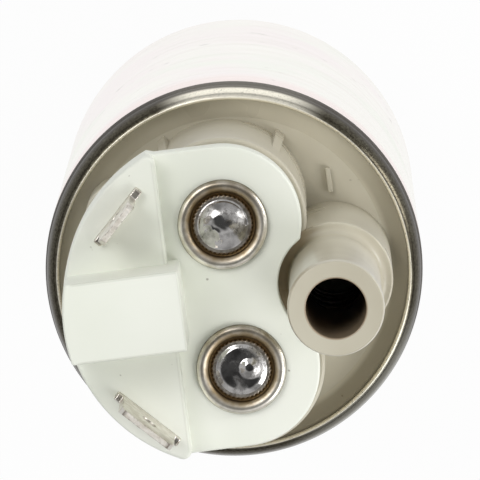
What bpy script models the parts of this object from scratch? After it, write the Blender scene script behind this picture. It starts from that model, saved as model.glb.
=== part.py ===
"""In-tank turbine fuel pump, outlet end up.

Units are metres. The pump's axis is Z, and z = 0 is the lower edge of the shell. The outlet column
stands on the +X side, and the two terminal posts stand on the Y axis.
"""

from math import acos, asin, atan2, cos, hypot, pi, radians, sin, sqrt

import bmesh
import bpy
from mathutils import Matrix, Vector

MM = 0.001

# Clearances
REST_GAP = 0.3 * MM
PUSH_FIT = 0.2 * MM
RUNNING_FIT = 0.06 * MM
PRESS_FIT = 0.05 * MM
IMPELLER_PLAY = 0.2 * MM
AIR_GAP = 0.7 * MM
WELD = 0.5 * MM

# Facets round a full circle
FINE_STEPS = 40
ROUND_STEPS = 24
SMALL_STEPS = 16
TINY_STEPS = 12
WIRE_STEPS = 10
DOUBLES = 0.001 * MM
SHARP_ANGLE = radians(35)

# How flat a coil's end turns lie, from 0 to 1
COIL_EASING = 0.45

# Shell
SHELL_RADIUS = 19.0 * MM
SHELL_WALL = 1.0 * MM
SHELL_LENGTH = 68.4 * MM
ROLL_HEIGHT = 3.4 * MM
ROLL_REACH = 1.45 * MM
LIP_THICKNESS = 0.9 * MM
ROLL_POINTS = 4

# Outlet cover
FLOOR_DEPTH = 2.2 * MM
BAND_WIDTH = 2.25 * MM
COVER_PLATE = 3.7 * MM
SKIRT_DEPTH = 14.2 * MM
SKIRT_WALL = 2.0 * MM
BOSS_EDGE_ROOM = 0.15 * MM
BOSS_BACK_ROOM = 5.75 * MM
SUPPORT_RIB_WIDTH = 1.6 * MM
SUPPORT_RIB_ROOM = 0.35 * MM
GUSSET_WIDTH = 1.0 * MM
GUSSET_RUN = 0.7 * MM
GUSSET_ROOT = 0.3 * MM
GUSSET_DROP = 2.0 * MM
GUSSET_FRONT_ANGLE = radians(43.5)
GUSSET_BACK_ANGLE = radians(129.5)
FLOOR_RIB_WIDTH = 0.5 * MM
FLOOR_RIB_LENGTH = 2.5 * MM
FLOOR_RIB_HEIGHT = 0.7 * MM
FLOOR_RIB_ROOM = 2.25 * MM
FLOOR_RIB_ANGLE = radians(36.8)

# Outlet column and nipple
COLUMN_EDGE_ROOM = 1.93 * MM
COLUMN_RADIUS = 5.72 * MM
COLLAR_ROUND = 0.8 * MM
NIPPLE_RADIUS = 4.5 * MM
NIPPLE_BEAD = 0.12 * MM
NIPPLE_BEAD_LENGTH = 1.6 * MM
NIPPLE_LENGTH = 19.8 * MM
OUTLET_BORE_RADIUS = 2.9 * MM
VALVE_BORE_RADIUS = 4.25 * MM
VALVE_BORE_ROOF = 1.0 * MM
COLUMN_TAIL = 2.5 * MM
COLUMN_TAIL_RADIUS = 5.5 * MM

# Seal between the outlet cover and the shell
SEAL_RADIUS = 0.6 * MM
SEAL_DEPTH = 8.2 * MM
SEAL_GROOVE_DEPTH = 1.35 * MM
SEAL_SIDES = 6

# Terminal board
BOARD_RISE = 16.6 * MM
BOARD_THICKNESS = 2.5 * MM
POST_OFFSET = 7.2 * MM
BOARD_LOBE_INSET = 0.5 * MM
BOARD_EDGE_INSET = 1.3 * MM
STEP_PLACE = -5.8 * MM
STEP_HEIGHT = 2.5 * MM
STEP_CORNER = 0.8 * MM
NOTCH_ROOM = 1.07 * MM
KEY_WIDTH = 7.9 * MM
KEY_SHIFT = 0.4 * MM
KEY_FRONT = -4.65 * MM
KEY_HEIGHT = 6.2 * MM
KEY_INSET = 0.15 * MM
KEY_ROUND = 0.3 * MM

# Eyelets, posts and solder
EYELET_FLANGE_RADIUS = 4.43 * MM
EYELET_CREST_RADIUS = 3.9 * MM
EYELET_CREST_HEIGHT = 0.75 * MM
EYELET_BARREL_RADIUS = 3.55 * MM
EYELET_WALL = 0.4 * MM
EYELET_DEPTH = 5.0 * MM
POST_RADIUS = 2.98 * MM
POST_KNURLS = 40
KNURL_DEPTH = 0.16 * MM
POST_LENGTH = 11.4 * MM
POST_PROUD = 0.3 * MM
TAIL_RADIUS = 1.0 * MM
TAIL_LENGTH = 3.5 * MM
SOLDER_RADIUS = 2.5 * MM
SOLDER_HEIGHT = 1.2 * MM

# Spade blades and their strips
BLADE_THICKNESS = 0.8 * MM
BLADE_RISE = 7.0 * MM
SHOULDER_RISE = 1.0 * MM
BLADE_TIP_TAPER = 0.9 * MM
DETENT_RADIUS = 0.9 * MM
NARROW_BLADE_WIDTH = 4.8 * MM
NARROW_BASE_WIDTH = 6.7 * MM
NARROW_EDGE_ROOM = 2.674 * MM
NARROW_ANGLE = radians(136.03)
WIDE_BLADE_WIDTH = 6.3 * MM
WIDE_BASE_WIDTH = 7.7 * MM
WIDE_EDGE_ROOM = 2.239 * MM
WIDE_ANGLE = radians(-132.58)
BLADE_TURN = radians(45)
STRIP_WIDTH = 3.0 * MM
STRIP_RING_WIDTH = 0.65 * MM

# Brushes, springs and chokes
BRUSH_SIDE = 4.4 * MM
BRUSH_LENGTH = 6.0 * MM
BRUSH_TUBE_WALL = 1.3 * MM
BRUSH_TUBE_RISE = 1.5 * MM
BRUSH_ROOF = 1.2 * MM
BRUSH_SPRING_RADIUS = 1.7 * MM
BRUSH_SPRING_WIRE = 0.2 * MM
BRUSH_SPRING_TURNS = 4
CHOKE_WALL = 0.5 * MM
CHOKE_LENGTH = 14.0 * MM
FERRITE_RADIUS = 1.1 * MM
CHOKE_WIRE = 0.38 * MM
CHOKE_TURNS = 5

# Outlet check valve
SEAT_RISE = 1.5 * MM
SEAT_LENGTH = 3.5 * MM
SEAT_BORE_RADIUS = 2.4 * MM
POPPET_RADIUS = 3.7 * MM
POPPET_HEAD = 1.6 * MM
POPPET_SPIGOT = 1.2 * MM
POPPET_FIN = 0.9 * MM
POPPET_FIN_LENGTH = 3.8 * MM
CHECK_SPRING_RADIUS = 3.4 * MM
CHECK_SPRING_WIRE = 0.28 * MM
CHECK_SPRING_TURNS = 5

# Relief valve
RELIEF_EDGE_ROOM = 1.48 * MM
RELIEF_ANGLE = radians(144.2)
RELIEF_TUBE_RADIUS = 3.5 * MM
RELIEF_TUBE_RISE = 5.8 * MM
RELIEF_TUBE_DROP = 6.5 * MM
RELIEF_BORE_RADIUS = 2.3 * MM
RELIEF_PORT_RADIUS = 1.2 * MM
RELIEF_SEAT_DEPTH = 7.7 * MM
BALL_RADIUS = 1.95 * MM
RELIEF_SPRING_RADIUS = 1.6 * MM
RELIEF_SPRING_WIRE = 0.22 * MM
RELIEF_SPRING_TURNS = 4
PLUG_LENGTH = 1.8 * MM
PLUG_BORE_RADIUS = 0.8 * MM

# Bearings and shaft
SHAFT_RADIUS = 2.0 * MM
BUSH_RADIUS = 3.5 * MM
BUSH_LENGTH = 4.0 * MM
BEARING_BOSS_RADIUS = 5.0 * MM
BEARING_BOSS_RISE = 1.3 * MM
SHAFT_END_ROOM = 1.8 * MM
SHAFT_FLAT = 1.5 * MM
THRUST_RADIUS = 2.4 * MM
THRUST_LENGTH = 1.9 * MM
THRUST_DOME = 0.3 * MM

# Armature
COMMUTATOR_RIM = 0.5 * MM
COMMUTATOR_LENGTH = 4.0 * MM
COMMUTATOR_SLOT = 0.5 * MM
COMMUTATOR_SLOT_DEPTH = 1.5 * MM
COMMUTATOR_BARS = 8
TEETH = 8
TOOTH_NECK = 3.4 * MM
TOOTH_TIP = 1.5 * MM
SLOT_MOUTH = 2.2 * MM
CORE_ROOT_RADIUS = 5.6 * MM
INSULATOR_THICKNESS = 0.7 * MM
INSULATOR_INSET = 0.4 * MM
END_TURN_HEIGHT = 3.2 * MM
END_TURN_INNER_RADIUS = 5.2 * MM
END_TURN_INSET = 1.4 * MM
END_TURN_SIDES = 6
BUNDLE_ROOT_ROOM = 1.6 * MM
ROTOR_PLAY = 0.8 * MM

# Magnets
MAGNET_THICKNESS = 3.4 * MM
MAGNET_HALF_ANGLE = radians(66)
MAGNET_STEPS = 12
MAGNET_END_ROOM = 4.0 * MM
MAGNET_RISE = 3.0 * MM
CLIP_THICKNESS = 0.6 * MM
CLIP_LEG = 2.6 * MM
CLIP_INSET = 5.0 * MM

# Pump end
INLET_COVER_THICKNESS = 6.8 * MM
NECK_EDGE_ROOM = 0.75 * MM
NECK_RADIUS = 6.2 * MM
NECK_LENGTH = 9.0 * MM
NECK_BEAD = 0.4 * MM
NECK_BORE_RADIUS = 4.0 * MM
NECK_BORE_DEPTH = 4.3 * MM
PORT_RADIUS = 1.9 * MM
IMPELLER_THICKNESS = 3.7 * MM
IMPELLER_WEB = 0.9 * MM
IMPELLER_WEB_RECESS = 0.5 * MM
IMPELLER_VANES = 30
VANE_LENGTH = 3.0 * MM
VANE_SHARE = 0.4
BALANCE_HOLES = 4
BALANCE_HOLE_RADIUS = 1.1 * MM
BALANCE_HOLE_PLACE = 6.8 * MM
RING_ROOM = 0.3 * MM
RING_WALL = 2.7 * MM
CASING_PLATE = 3.9 * MM
CASING_HUB_RADIUS = 5.6 * MM
CASING_HUB_HEIGHT = 1.5 * MM
CHANNEL_INSET = 2.0 * MM
CHANNEL_HALF_WIDTH = 1.9 * MM
CHANNEL_DEPTH = 1.3 * MM
CHANNEL_SWEEP = radians(318)
CHANNEL_STEPS = 18
CHANNEL_SIDES = 6

# Worked out from the sizes above
SHELL_INNER = SHELL_RADIUS - SHELL_WALL
LIP_RADIUS = SHELL_RADIUS - ROLL_REACH
COVER_RADIUS = SHELL_INNER - PUSH_FIT
BAND_INNER_RADIUS = COVER_RADIUS - BAND_WIDTH
SHOULDER = SHELL_LENGTH - LIP_THICKNESS - REST_GAP
FLOOR = SHELL_LENGTH - FLOOR_DEPTH
CEILING = FLOOR - COVER_PLATE
SKIRT_LOW = FLOOR - SKIRT_DEPTH
BOARD_TOP = SHELL_LENGTH + BOARD_RISE
BOARD_LOW = BOARD_TOP - BOARD_THICKNESS
BOSS_TOP = BOARD_LOW - REST_GAP
STEP_TOP = BOARD_TOP + STEP_HEIGHT
KEY_TOP = STEP_TOP + KEY_HEIGHT
COLLAR_TOP = BOSS_TOP
NIPPLE_TIP = COLLAR_TOP + NIPPLE_LENGTH
VALVE_BORE_TOP = COLLAR_TOP - VALVE_BORE_ROOF
COLUMN_LOW = CEILING - COLUMN_TAIL
NOTCH_RADIUS = NIPPLE_RADIUS + NOTCH_ROOM
COLUMN_OFFSET = COVER_RADIUS - COLUMN_RADIUS - COLUMN_EDGE_ROOM
BOSS_LOBE_RADIUS = BAND_INNER_RADIUS - POST_OFFSET - BOSS_EDGE_ROOM
BOSS_BACK = BAND_INNER_RADIUS - BOSS_BACK_ROOM
BOARD_LOBE_RADIUS = BOSS_LOBE_RADIUS - BOARD_LOBE_INSET
BOARD_EDGE_RADIUS = COVER_RADIUS - BOARD_EDGE_INSET
STRIP_RING_RADIUS = EYELET_BARREL_RADIUS + STRIP_RING_WIDTH
EYELET_HOLE_RADIUS = EYELET_BARREL_RADIUS + PUSH_FIT
POST_TOP = BOARD_TOP + POST_PROUD
POST_LOW = POST_TOP - POST_LENGTH
STRIP_TOP = BOARD_LOW + BLADE_THICKNESS
COMMUTATOR_RADIUS = POST_OFFSET + BRUSH_SIDE / 2 + COMMUTATOR_RIM
COMMUTATOR_TOP = SKIRT_LOW - REST_GAP
COMMUTATOR_LOW = COMMUTATOR_TOP - COMMUTATOR_LENGTH
BRUSH_LOW = COMMUTATOR_TOP + REST_GAP
BRUSH_TOP = BRUSH_LOW + BRUSH_LENGTH
BRUSH_POCKET_TOP = FLOOR - BRUSH_ROOF
CHOKE_POCKET_RADIUS = FERRITE_RADIUS + 2 * CHOKE_WIRE + 2 * REST_GAP
CHOKE_OFFSET = BRUSH_SIDE / 2 + PUSH_FIT + CHOKE_WALL + CHOKE_POCKET_RADIUS
CHOKE_POCKET_TOP = POST_LOW - REST_GAP - CHOKE_WALL
BEARING_BOSS_LOW = SKIRT_LOW + BEARING_BOSS_RISE
UPPER_BUSH_LOW = BEARING_BOSS_LOW + REST_GAP
UPPER_BUSH_TOP = UPPER_BUSH_LOW + BUSH_LENGTH
SHAFT_TOP = UPPER_BUSH_TOP + SHAFT_END_ROOM - REST_GAP
NECK_OFFSET = NECK_EDGE_ROOM + NECK_BEAD + NECK_RADIUS - LIP_RADIUS
INLET_LOW = LIP_THICKNESS + REST_GAP
INLET_TOP = INLET_LOW + INLET_COVER_THICKNESS
IMPELLER_RADIUS = COVER_RADIUS - RING_WALL - RING_ROOM
CHANNEL_RADIUS = IMPELLER_RADIUS - CHANNEL_INSET
IMPELLER_LOW = INLET_TOP + IMPELLER_PLAY
IMPELLER_TOP = IMPELLER_LOW + IMPELLER_THICKNESS
CASING_LOW = INLET_TOP + REST_GAP
CASING_PLATE_LOW = IMPELLER_TOP + IMPELLER_PLAY
CASING_TOP = CASING_PLATE_LOW + CASING_PLATE
HUB_TOP = CASING_TOP + CASING_HUB_HEIGHT
LOWER_BUSH_TOP = HUB_TOP - REST_GAP
LOWER_BUSH_LOW = LOWER_BUSH_TOP - BUSH_LENGTH
THRUST_TOP = INLET_TOP - REST_GAP
SHAFT_LOW = THRUST_TOP + PUSH_FIT
MAGNET_LOW = CASING_TOP + MAGNET_RISE
MAGNET_TOP = SKIRT_LOW - MAGNET_END_ROOM
MAGNET_OUTER = SHELL_INNER - REST_GAP
MAGNET_INNER = MAGNET_OUTER - MAGNET_THICKNESS
CORE_RADIUS = MAGNET_INNER - AIR_GAP
END_TURN_OUTER_RADIUS = CORE_RADIUS - END_TURN_INSET
LOWER_TURNS_LOW = HUB_TOP + ROTOR_PLAY
LOWER_TURNS_TOP = LOWER_TURNS_LOW + END_TURN_HEIGHT
UPPER_TURNS_TOP = COMMUTATOR_LOW - REST_GAP
UPPER_TURNS_LOW = UPPER_TURNS_TOP - END_TURN_HEIGHT
LOWER_INSULATOR_LOW = LOWER_TURNS_TOP + REST_GAP
UPPER_INSULATOR_LOW = UPPER_TURNS_LOW - REST_GAP - INSULATOR_THICKNESS
CORE_LOW = LOWER_INSULATOR_LOW + INSULATOR_THICKNESS + REST_GAP
CORE_TOP = UPPER_INSULATOR_LOW - REST_GAP
SHAFT_HOLE = SHAFT_RADIUS + PRESS_FIT
SEAT_LOW = COLUMN_LOW + SEAT_RISE
SEAT_TOP = SEAT_LOW + SEAT_LENGTH
POPPET_LOW = SEAT_TOP + PUSH_FIT
POPPET_TOP = POPPET_LOW + POPPET_HEAD
RELIEF_REACH = COVER_RADIUS - RELIEF_TUBE_RADIUS - RELIEF_EDGE_ROOM
RELIEF_SEAT = FLOOR - RELIEF_SEAT_DEPTH
RELIEF_TUBE_TOP = FLOOR + RELIEF_TUBE_RISE
BALL_CENTRE = RELIEF_SEAT + sqrt(BALL_RADIUS**2 - RELIEF_PORT_RADIUS**2) + REST_GAP
PLUG_TOP = RELIEF_TUBE_TOP - REST_GAP
PLUG_LOW = PLUG_TOP - PLUG_LENGTH


def around(reach, angle):
    """The (x, y) place at a distance from the axis and an angle round it."""
    return (reach * cos(angle), reach * sin(angle))


NARROW_PLACE = around(BOARD_EDGE_RADIUS - NARROW_EDGE_ROOM, NARROW_ANGLE)
WIDE_PLACE = around(BOARD_EDGE_RADIUS - WIDE_EDGE_ROOM, WIDE_ANGLE)
RELIEF_PLACE = around(RELIEF_REACH, RELIEF_ANGLE)
FLOOR_RIB_PLACE = around(BAND_INNER_RADIUS - FLOOR_RIB_ROOM, FLOOR_RIB_ANGLE)
BLADES = (
    ("blade_narrow", NARROW_PLACE, 1, NARROW_BLADE_WIDTH, NARROW_BASE_WIDTH),
    ("blade_wide", WIDE_PLACE, -1, WIDE_BLADE_WIDTH, WIDE_BASE_WIDTH),
)

# Colour, roughness and metallic value of each kind of surface
ZINC = ((0.80, 0.79, 0.76), 0.32, 1.0)
STEEL = ((0.56, 0.55, 0.52), 0.28, 1.0)
NICKEL = ((0.62, 0.58, 0.50), 0.24, 1.0)
SOLDER = ((0.80, 0.80, 0.80), 0.16, 1.0)
BRASS = ((0.72, 0.55, 0.28), 0.30, 1.0)
BRONZE = ((0.50, 0.36, 0.22), 0.50, 1.0)
COPPER = ((0.76, 0.38, 0.22), 0.30, 1.0)
BEIGE = ((0.62, 0.57, 0.48), 0.45, 0.0)
WHITE = ((0.84, 0.86, 0.78), 0.40, 0.0)
CARBON = ((0.05, 0.05, 0.05), 0.60, 0.0)
FERRITE = ((0.09, 0.09, 0.10), 0.55, 0.0)
RUBBER = ((0.03, 0.03, 0.03), 0.70, 0.0)
PHENOLIC = ((0.12, 0.07, 0.04), 0.50, 0.0)
ENAMEL = ((0.50, 0.16, 0.07), 0.35, 0.0)
ALUMINIUM = ((0.72, 0.73, 0.74), 0.38, 1.0)


# The exact solver leaves open edges where many round bores meet a flat face of these two
MANIFOLD_BODIES = ("outlet_cover", "inlet_cover")


def material(name, look):
    """A Principled material of one surface."""
    colour, roughness, metallic = look
    made = bpy.data.materials.new(name)
    made.use_nodes = True
    shader = made.node_tree.nodes["Principled BSDF"]
    shader.inputs["Base Color"].default_value = (*colour, 1.0)
    shader.inputs["Roughness"].default_value = roughness
    shader.inputs["Metallic"].default_value = metallic
    return made


def finish_mesh(bm, name, look, place):
    """Puts a bmesh into an object with its own material and smooth round faces."""
    bmesh.ops.remove_doubles(bm, verts=bm.verts, dist=DOUBLES)
    bmesh.ops.recalc_face_normals(bm, faces=bm.faces)
    mesh = bpy.data.meshes.new(name)
    bm.to_mesh(mesh)
    bm.free()
    mesh.shade_smooth()
    mesh.set_sharp_from_angle(angle=SHARP_ANGLE)
    made = bpy.data.objects.new(name, mesh)
    made.location = place
    mesh.materials.append(material(name, look))
    bpy.context.scene.collection.objects.link(made)
    return made


def turned(name, profile, look, steps=ROUND_STEPS, place=(0, 0, 0)):
    """A turned piece: the profile's (radius, height) points carried round the Z axis.

    A profile that starts and ends on the axis is solid to its middle, and any other is a ring.
    """
    bm = bmesh.new()
    points = [bm.verts.new((radius, 0, height)) for radius, height in profile]
    edges = [bm.edges.new(pair) for pair in zip(points, points[1:])]
    if profile[0][0] > 0 or profile[-1][0] > 0:
        edges.append(bm.edges.new((points[-1], points[0])))
    bmesh.ops.spin(
        bm, geom=points + edges, cent=(0, 0, 0), axis=(0, 0, 1), angle=2 * pi, steps=steps
    )
    return finish_mesh(bm, name, look, place)


def prism(name, outline, low, high, look, place=(0, 0, 0)):
    """A flat outline of (x, y) points, extruded from one height to another."""
    bm = bmesh.new()
    base = bm.faces.new([bm.verts.new((x, y, low)) for x, y in outline])
    grown = bmesh.ops.extrude_face_region(bm, geom=[base])
    top = [item for item in grown["geom"] if isinstance(item, bmesh.types.BMVert)]
    bmesh.ops.translate(bm, verts=top, vec=(0, 0, high - low))
    return finish_mesh(bm, name, look, place)


def block(name, size, centre, look, turn=0.0):
    """A rectangular block, turned about its own upright axis."""
    bm = bmesh.new()
    bmesh.ops.create_cube(bm, size=1.0, matrix=Matrix.Diagonal((*size, 1.0)))
    made = finish_mesh(bm, name, look, centre)
    made.rotation_euler.z = turn
    return made


def rod(name, radius, low, high, look, place=(0, 0), steps=ROUND_STEPS):
    """A plain round rod between two heights."""
    profile = [(0, high), (radius, high), (radius, low), (0, low)]
    return turned(name, profile, look, steps, (*place, 0))


def coil(name, radius, wire, turns, low, high, look, place, sides=1):
    """A helical wire between two heights, its end turns lying nearly flat."""
    total = turns * WIRE_STEPS
    curve = bpy.data.curves.new(name, "CURVE")
    curve.dimensions = "3D"
    curve.bevel_depth = wire
    curve.bevel_resolution = sides
    curve.use_fill_caps = True
    spline = curve.splines.new("POLY")
    spline.points.add(total)
    start = low + wire
    rise = high - low - 2 * wire
    for number, point in enumerate(spline.points):
        share = number / total
        eased = share - COIL_EASING * sin(2 * pi * share) / (2 * pi)
        angle = 2 * pi * number / WIRE_STEPS
        point.co = (radius * cos(angle), radius * sin(angle), start + rise * eased, 1)
    curve.materials.append(material(name, look))
    made = bpy.data.objects.new(name, curve)
    made.location = (*place, 0)
    bpy.context.scene.collection.objects.link(made)
    return made


def combine(target, tool, operation):
    """Cuts or joins with a live Boolean, and keeps the tool as a guide."""
    modifier = target.modifiers.new(tool.name, "BOOLEAN")
    modifier.operation = operation
    modifier.solver = "MANIFOLD" if target.name in MANIFOLD_BODIES else "EXACT"
    modifier.object = tool
    tool.hide_render = True
    tool.display_type = "WIRE"


def cut(target, *tools):
    """Takes each tool's space out of the target."""
    for tool in tools:
        combine(target, tool, "DIFFERENCE")


def join(target, *tools):
    """Makes each tool one body with the target."""
    for tool in tools:
        combine(target, tool, "UNION")


def arc(centre, radius, start, stop, steps):
    """Points on a circle's arc, both ends included."""
    return [
        (
            centre[0] + radius * cos(start + (stop - start) * number / steps),
            centre[1] + radius * sin(start + (stop - start) * number / steps),
        )
        for number in range(steps + 1)
    ]


def mirrored(points):
    """The points of one half repeated below the X axis, in the order that closes the outline."""
    return [(x, -y) for x, y in reversed(points)]


def rolled_edge(edge, inward):
    """The outer surface of a rolled-in shell edge, from the straight wall to the lip."""
    return [
        (
            LIP_RADIUS + ROLL_REACH * cos(pi / 2 * number / ROLL_POINTS),
            edge + inward * ROLL_HEIGHT * (1 - sin(pi / 2 * number / ROLL_POINTS)),
        )
        for number in range(ROLL_POINTS + 1)
    ]


def make_shell():
    """The steel tube, with both edges rolled in over the covers."""
    top = rolled_edge(SHELL_LENGTH, -1)
    low = rolled_edge(0, 1)
    inside = [
        (LIP_RADIUS, LIP_THICKNESS),
        (SHELL_INNER, LIP_THICKNESS),
        (SHELL_INNER, SHELL_LENGTH - LIP_THICKNESS),
        (LIP_RADIUS, SHELL_LENGTH - LIP_THICKNESS),
    ]
    turned("shell", top[::-1] + low + inside, ZINC, FINE_STEPS)


def make_cover_boss():
    """The two-lobed boss that carries the terminal board, each lobe round a post."""
    valley = asin(min(1, POST_OFFSET / BOSS_LOBE_RADIUS))
    lobe = arc((0, POST_OFFSET), BOSS_LOBE_RADIUS, pi, -valley, ROUND_STEPS // 2)
    half = [(-BOSS_BACK, POST_OFFSET)] + lobe
    return prism("boss", half + mirrored(half[:-1]), FLOOR - WELD, BOSS_TOP, BEIGE)


def make_nipple():
    """The outlet column, its rounded collar and the hose nipple, about their own axis."""
    bead = NIPPLE_RADIUS + NIPPLE_BEAD
    profile = [
        (0, NIPPLE_TIP),
        (bead - NIPPLE_BEAD, NIPPLE_TIP),
        (bead, NIPPLE_TIP - NIPPLE_BEAD),
        (bead, NIPPLE_TIP - NIPPLE_BEAD_LENGTH),
        (NIPPLE_RADIUS, NIPPLE_TIP - NIPPLE_BEAD_LENGTH - NIPPLE_BEAD),
        (NIPPLE_RADIUS, COLLAR_TOP + COLLAR_ROUND / 2),
        (NIPPLE_RADIUS + COLLAR_ROUND / 4, COLLAR_TOP + COLLAR_ROUND / 8),
    ]
    shoulder = arc(
        (COLUMN_RADIUS - COLLAR_ROUND, COLLAR_TOP - COLLAR_ROUND), COLLAR_ROUND, pi / 2, 0, 3
    )
    foot = [(COLUMN_RADIUS, FLOOR), (COLUMN_TAIL_RADIUS, FLOOR - WELD)]
    foot += [(COLUMN_TAIL_RADIUS, COLUMN_LOW), (0, COLUMN_LOW)]
    return turned("column", profile + shoulder + foot, BEIGE, place=(COLUMN_OFFSET, 0, 0))


def make_gusset(turn):
    """A thin web that leans against a lobe of the boss and ends on the floor."""
    root = BOSS_LOBE_RADIUS - GUSSET_ROOT
    bm = bmesh.new()
    side = [
        (root, FLOOR - WELD),
        (BOSS_LOBE_RADIUS + GUSSET_RUN, FLOOR - WELD),
        (BOSS_LOBE_RADIUS + GUSSET_RUN, FLOOR + WELD),
        (root, BOSS_TOP - GUSSET_DROP),
    ]
    face = bm.faces.new([bm.verts.new((reach, -GUSSET_WIDTH / 2, z)) for reach, z in side])
    grown = bmesh.ops.extrude_face_region(bm, geom=[face])
    far = [item for item in grown["geom"] if isinstance(item, bmesh.types.BMVert)]
    bmesh.ops.translate(bm, verts=far, vec=(0, GUSSET_WIDTH, 0))
    place = Matrix.Translation((0, POST_OFFSET, 0)) @ Matrix.Rotation(turn, 4, "Z")
    bmesh.ops.transform(bm, matrix=place, verts=bm.verts)
    return finish_mesh(bm, "gusset", BEIGE, (0, 0, 0))


def make_outlet_cover():
    """The moulded cover: skirt, sloped band, floor, boss, column, brush tubes and valve bores."""
    groove = FLOOR - SEAL_DEPTH
    half_groove = SEAL_RADIUS + PUSH_FIT
    skirt_inner = COVER_RADIUS - SKIRT_WALL
    profile = [
        (0, FLOOR),
        (BAND_INNER_RADIUS, FLOOR),
        (COVER_RADIUS, SHOULDER),
        (COVER_RADIUS, groove + half_groove),
        (COVER_RADIUS - SEAL_GROOVE_DEPTH, groove + half_groove),
        (COVER_RADIUS - SEAL_GROOVE_DEPTH, groove - half_groove),
        (COVER_RADIUS, groove - half_groove),
        (COVER_RADIUS, SKIRT_LOW),
        (skirt_inner, SKIRT_LOW),
        (skirt_inner, CEILING),
        (0, CEILING),
    ]
    cover = turned("outlet_cover", profile, BEIGE, FINE_STEPS)
    tube_side = BRUSH_SIDE + 2 * (PUSH_FIT + BRUSH_TUBE_WALL)
    tube_low = SKIRT_LOW + BRUSH_TUBE_RISE
    tube_high = CEILING + WELD
    rib_low = FLOOR - WELD
    join(cover, make_cover_boss(), make_nipple())
    join(cover, rod("bearing_boss", BEARING_BOSS_RADIUS, BEARING_BOSS_LOW, tube_high, BEIGE))
    for side in (1, -1):
        size = (tube_side, tube_side, tube_high - tube_low)
        centre = (0, side * POST_OFFSET, (tube_high + tube_low) / 2)
        join(cover, block("brush_tube", size, centre, BEIGE))
    relief = rod(
        "relief_tube",
        RELIEF_TUBE_RADIUS,
        CEILING - RELIEF_TUBE_DROP,
        RELIEF_TUBE_TOP,
        BEIGE,
        RELIEF_PLACE,
        SMALL_STEPS,
    )
    join(cover, relief)
    rib_end = BAND_INNER_RADIUS - SUPPORT_RIB_ROOM
    reach = rib_end - BOSS_BACK + WELD
    size = (reach, SUPPORT_RIB_WIDTH, BOSS_TOP - WELD - rib_low)
    centre = (reach / 2 - rib_end, 0, (BOSS_TOP - WELD + rib_low) / 2)
    join(cover, block("support_rib", size, centre, BEIGE))
    size = (FLOOR_RIB_WIDTH, FLOOR_RIB_LENGTH, FLOOR_RIB_HEIGHT + WELD)
    centre = (*FLOOR_RIB_PLACE, FLOOR + (FLOOR_RIB_HEIGHT - WELD) / 2)
    join(cover, block("floor_rib", size, centre, BEIGE))
    for turn in (GUSSET_FRONT_ANGLE, GUSSET_BACK_ANGLE):
        join(cover, make_gusset(turn))
    cut_outlet_cover(cover, tube_low)


def cut_outlet_cover(cover, tube_low):
    """The bores and pockets of the outlet cover."""
    below = SKIRT_LOW - WELD
    valve = [
        (0, NIPPLE_TIP + WELD),
        (OUTLET_BORE_RADIUS, NIPPLE_TIP + WELD),
        (OUTLET_BORE_RADIUS, VALVE_BORE_TOP),
        (VALVE_BORE_RADIUS, VALVE_BORE_TOP),
        (VALVE_BORE_RADIUS, COLUMN_LOW - WELD),
        (0, COLUMN_LOW - WELD),
    ]
    cut(cover, turned("valve_bore", valve, BEIGE, place=(COLUMN_OFFSET, 0, 0)))
    bearing = [
        (0, SHAFT_TOP + REST_GAP),
        (SHAFT_RADIUS + PUSH_FIT, SHAFT_TOP + REST_GAP),
        (SHAFT_RADIUS + PUSH_FIT, UPPER_BUSH_TOP + REST_GAP),
        (BUSH_RADIUS + PUSH_FIT, UPPER_BUSH_TOP + REST_GAP),
        (BUSH_RADIUS + PUSH_FIT, below),
        (0, below),
    ]
    cut(cover, turned("bearing_bore", bearing, BEIGE, SMALL_STEPS))
    pocket = BRUSH_SIDE + 2 * PUSH_FIT
    for side in (1, -1):
        size = (pocket, pocket, BRUSH_POCKET_TOP - tube_low + WELD)
        centre = (0, side * POST_OFFSET, (BRUSH_POCKET_TOP + tube_low - WELD) / 2)
        cut(cover, block("brush_pocket", size, centre, BEIGE))
        post = [
            (0, BOSS_TOP + WELD),
            (EYELET_HOLE_RADIUS, BOSS_TOP + WELD),
            (EYELET_HOLE_RADIUS, BOARD_TOP - EYELET_DEPTH - REST_GAP),
            (POST_RADIUS + PUSH_FIT, BOARD_TOP - EYELET_DEPTH - REST_GAP),
            (POST_RADIUS + PUSH_FIT, POST_LOW - REST_GAP),
            (TAIL_RADIUS + PUSH_FIT, POST_LOW - REST_GAP),
            (TAIL_RADIUS + PUSH_FIT, POST_LOW - TAIL_LENGTH - REST_GAP),
            (0, POST_LOW - TAIL_LENGTH - REST_GAP),
        ]
        place = (0, side * POST_OFFSET, 0)
        cut(cover, turned("post_bore", post, BEIGE, SMALL_STEPS, place))
        choke = rod(
            "choke_pocket",
            CHOKE_POCKET_RADIUS,
            below,
            CHOKE_POCKET_TOP,
            BEIGE,
            (CHOKE_OFFSET, side * POST_OFFSET),
            SMALL_STEPS,
        )
        cut(cover, choke)
    relief = [
        (0, RELIEF_TUBE_TOP + WELD),
        (RELIEF_BORE_RADIUS, RELIEF_TUBE_TOP + WELD),
        (RELIEF_BORE_RADIUS, RELIEF_SEAT),
        (RELIEF_PORT_RADIUS, RELIEF_SEAT),
        (RELIEF_PORT_RADIUS, below),
        (0, below),
    ]
    cut(cover, turned("relief_bore", relief, BEIGE, SMALL_STEPS, (*RELIEF_PLACE, 0)))


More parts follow.
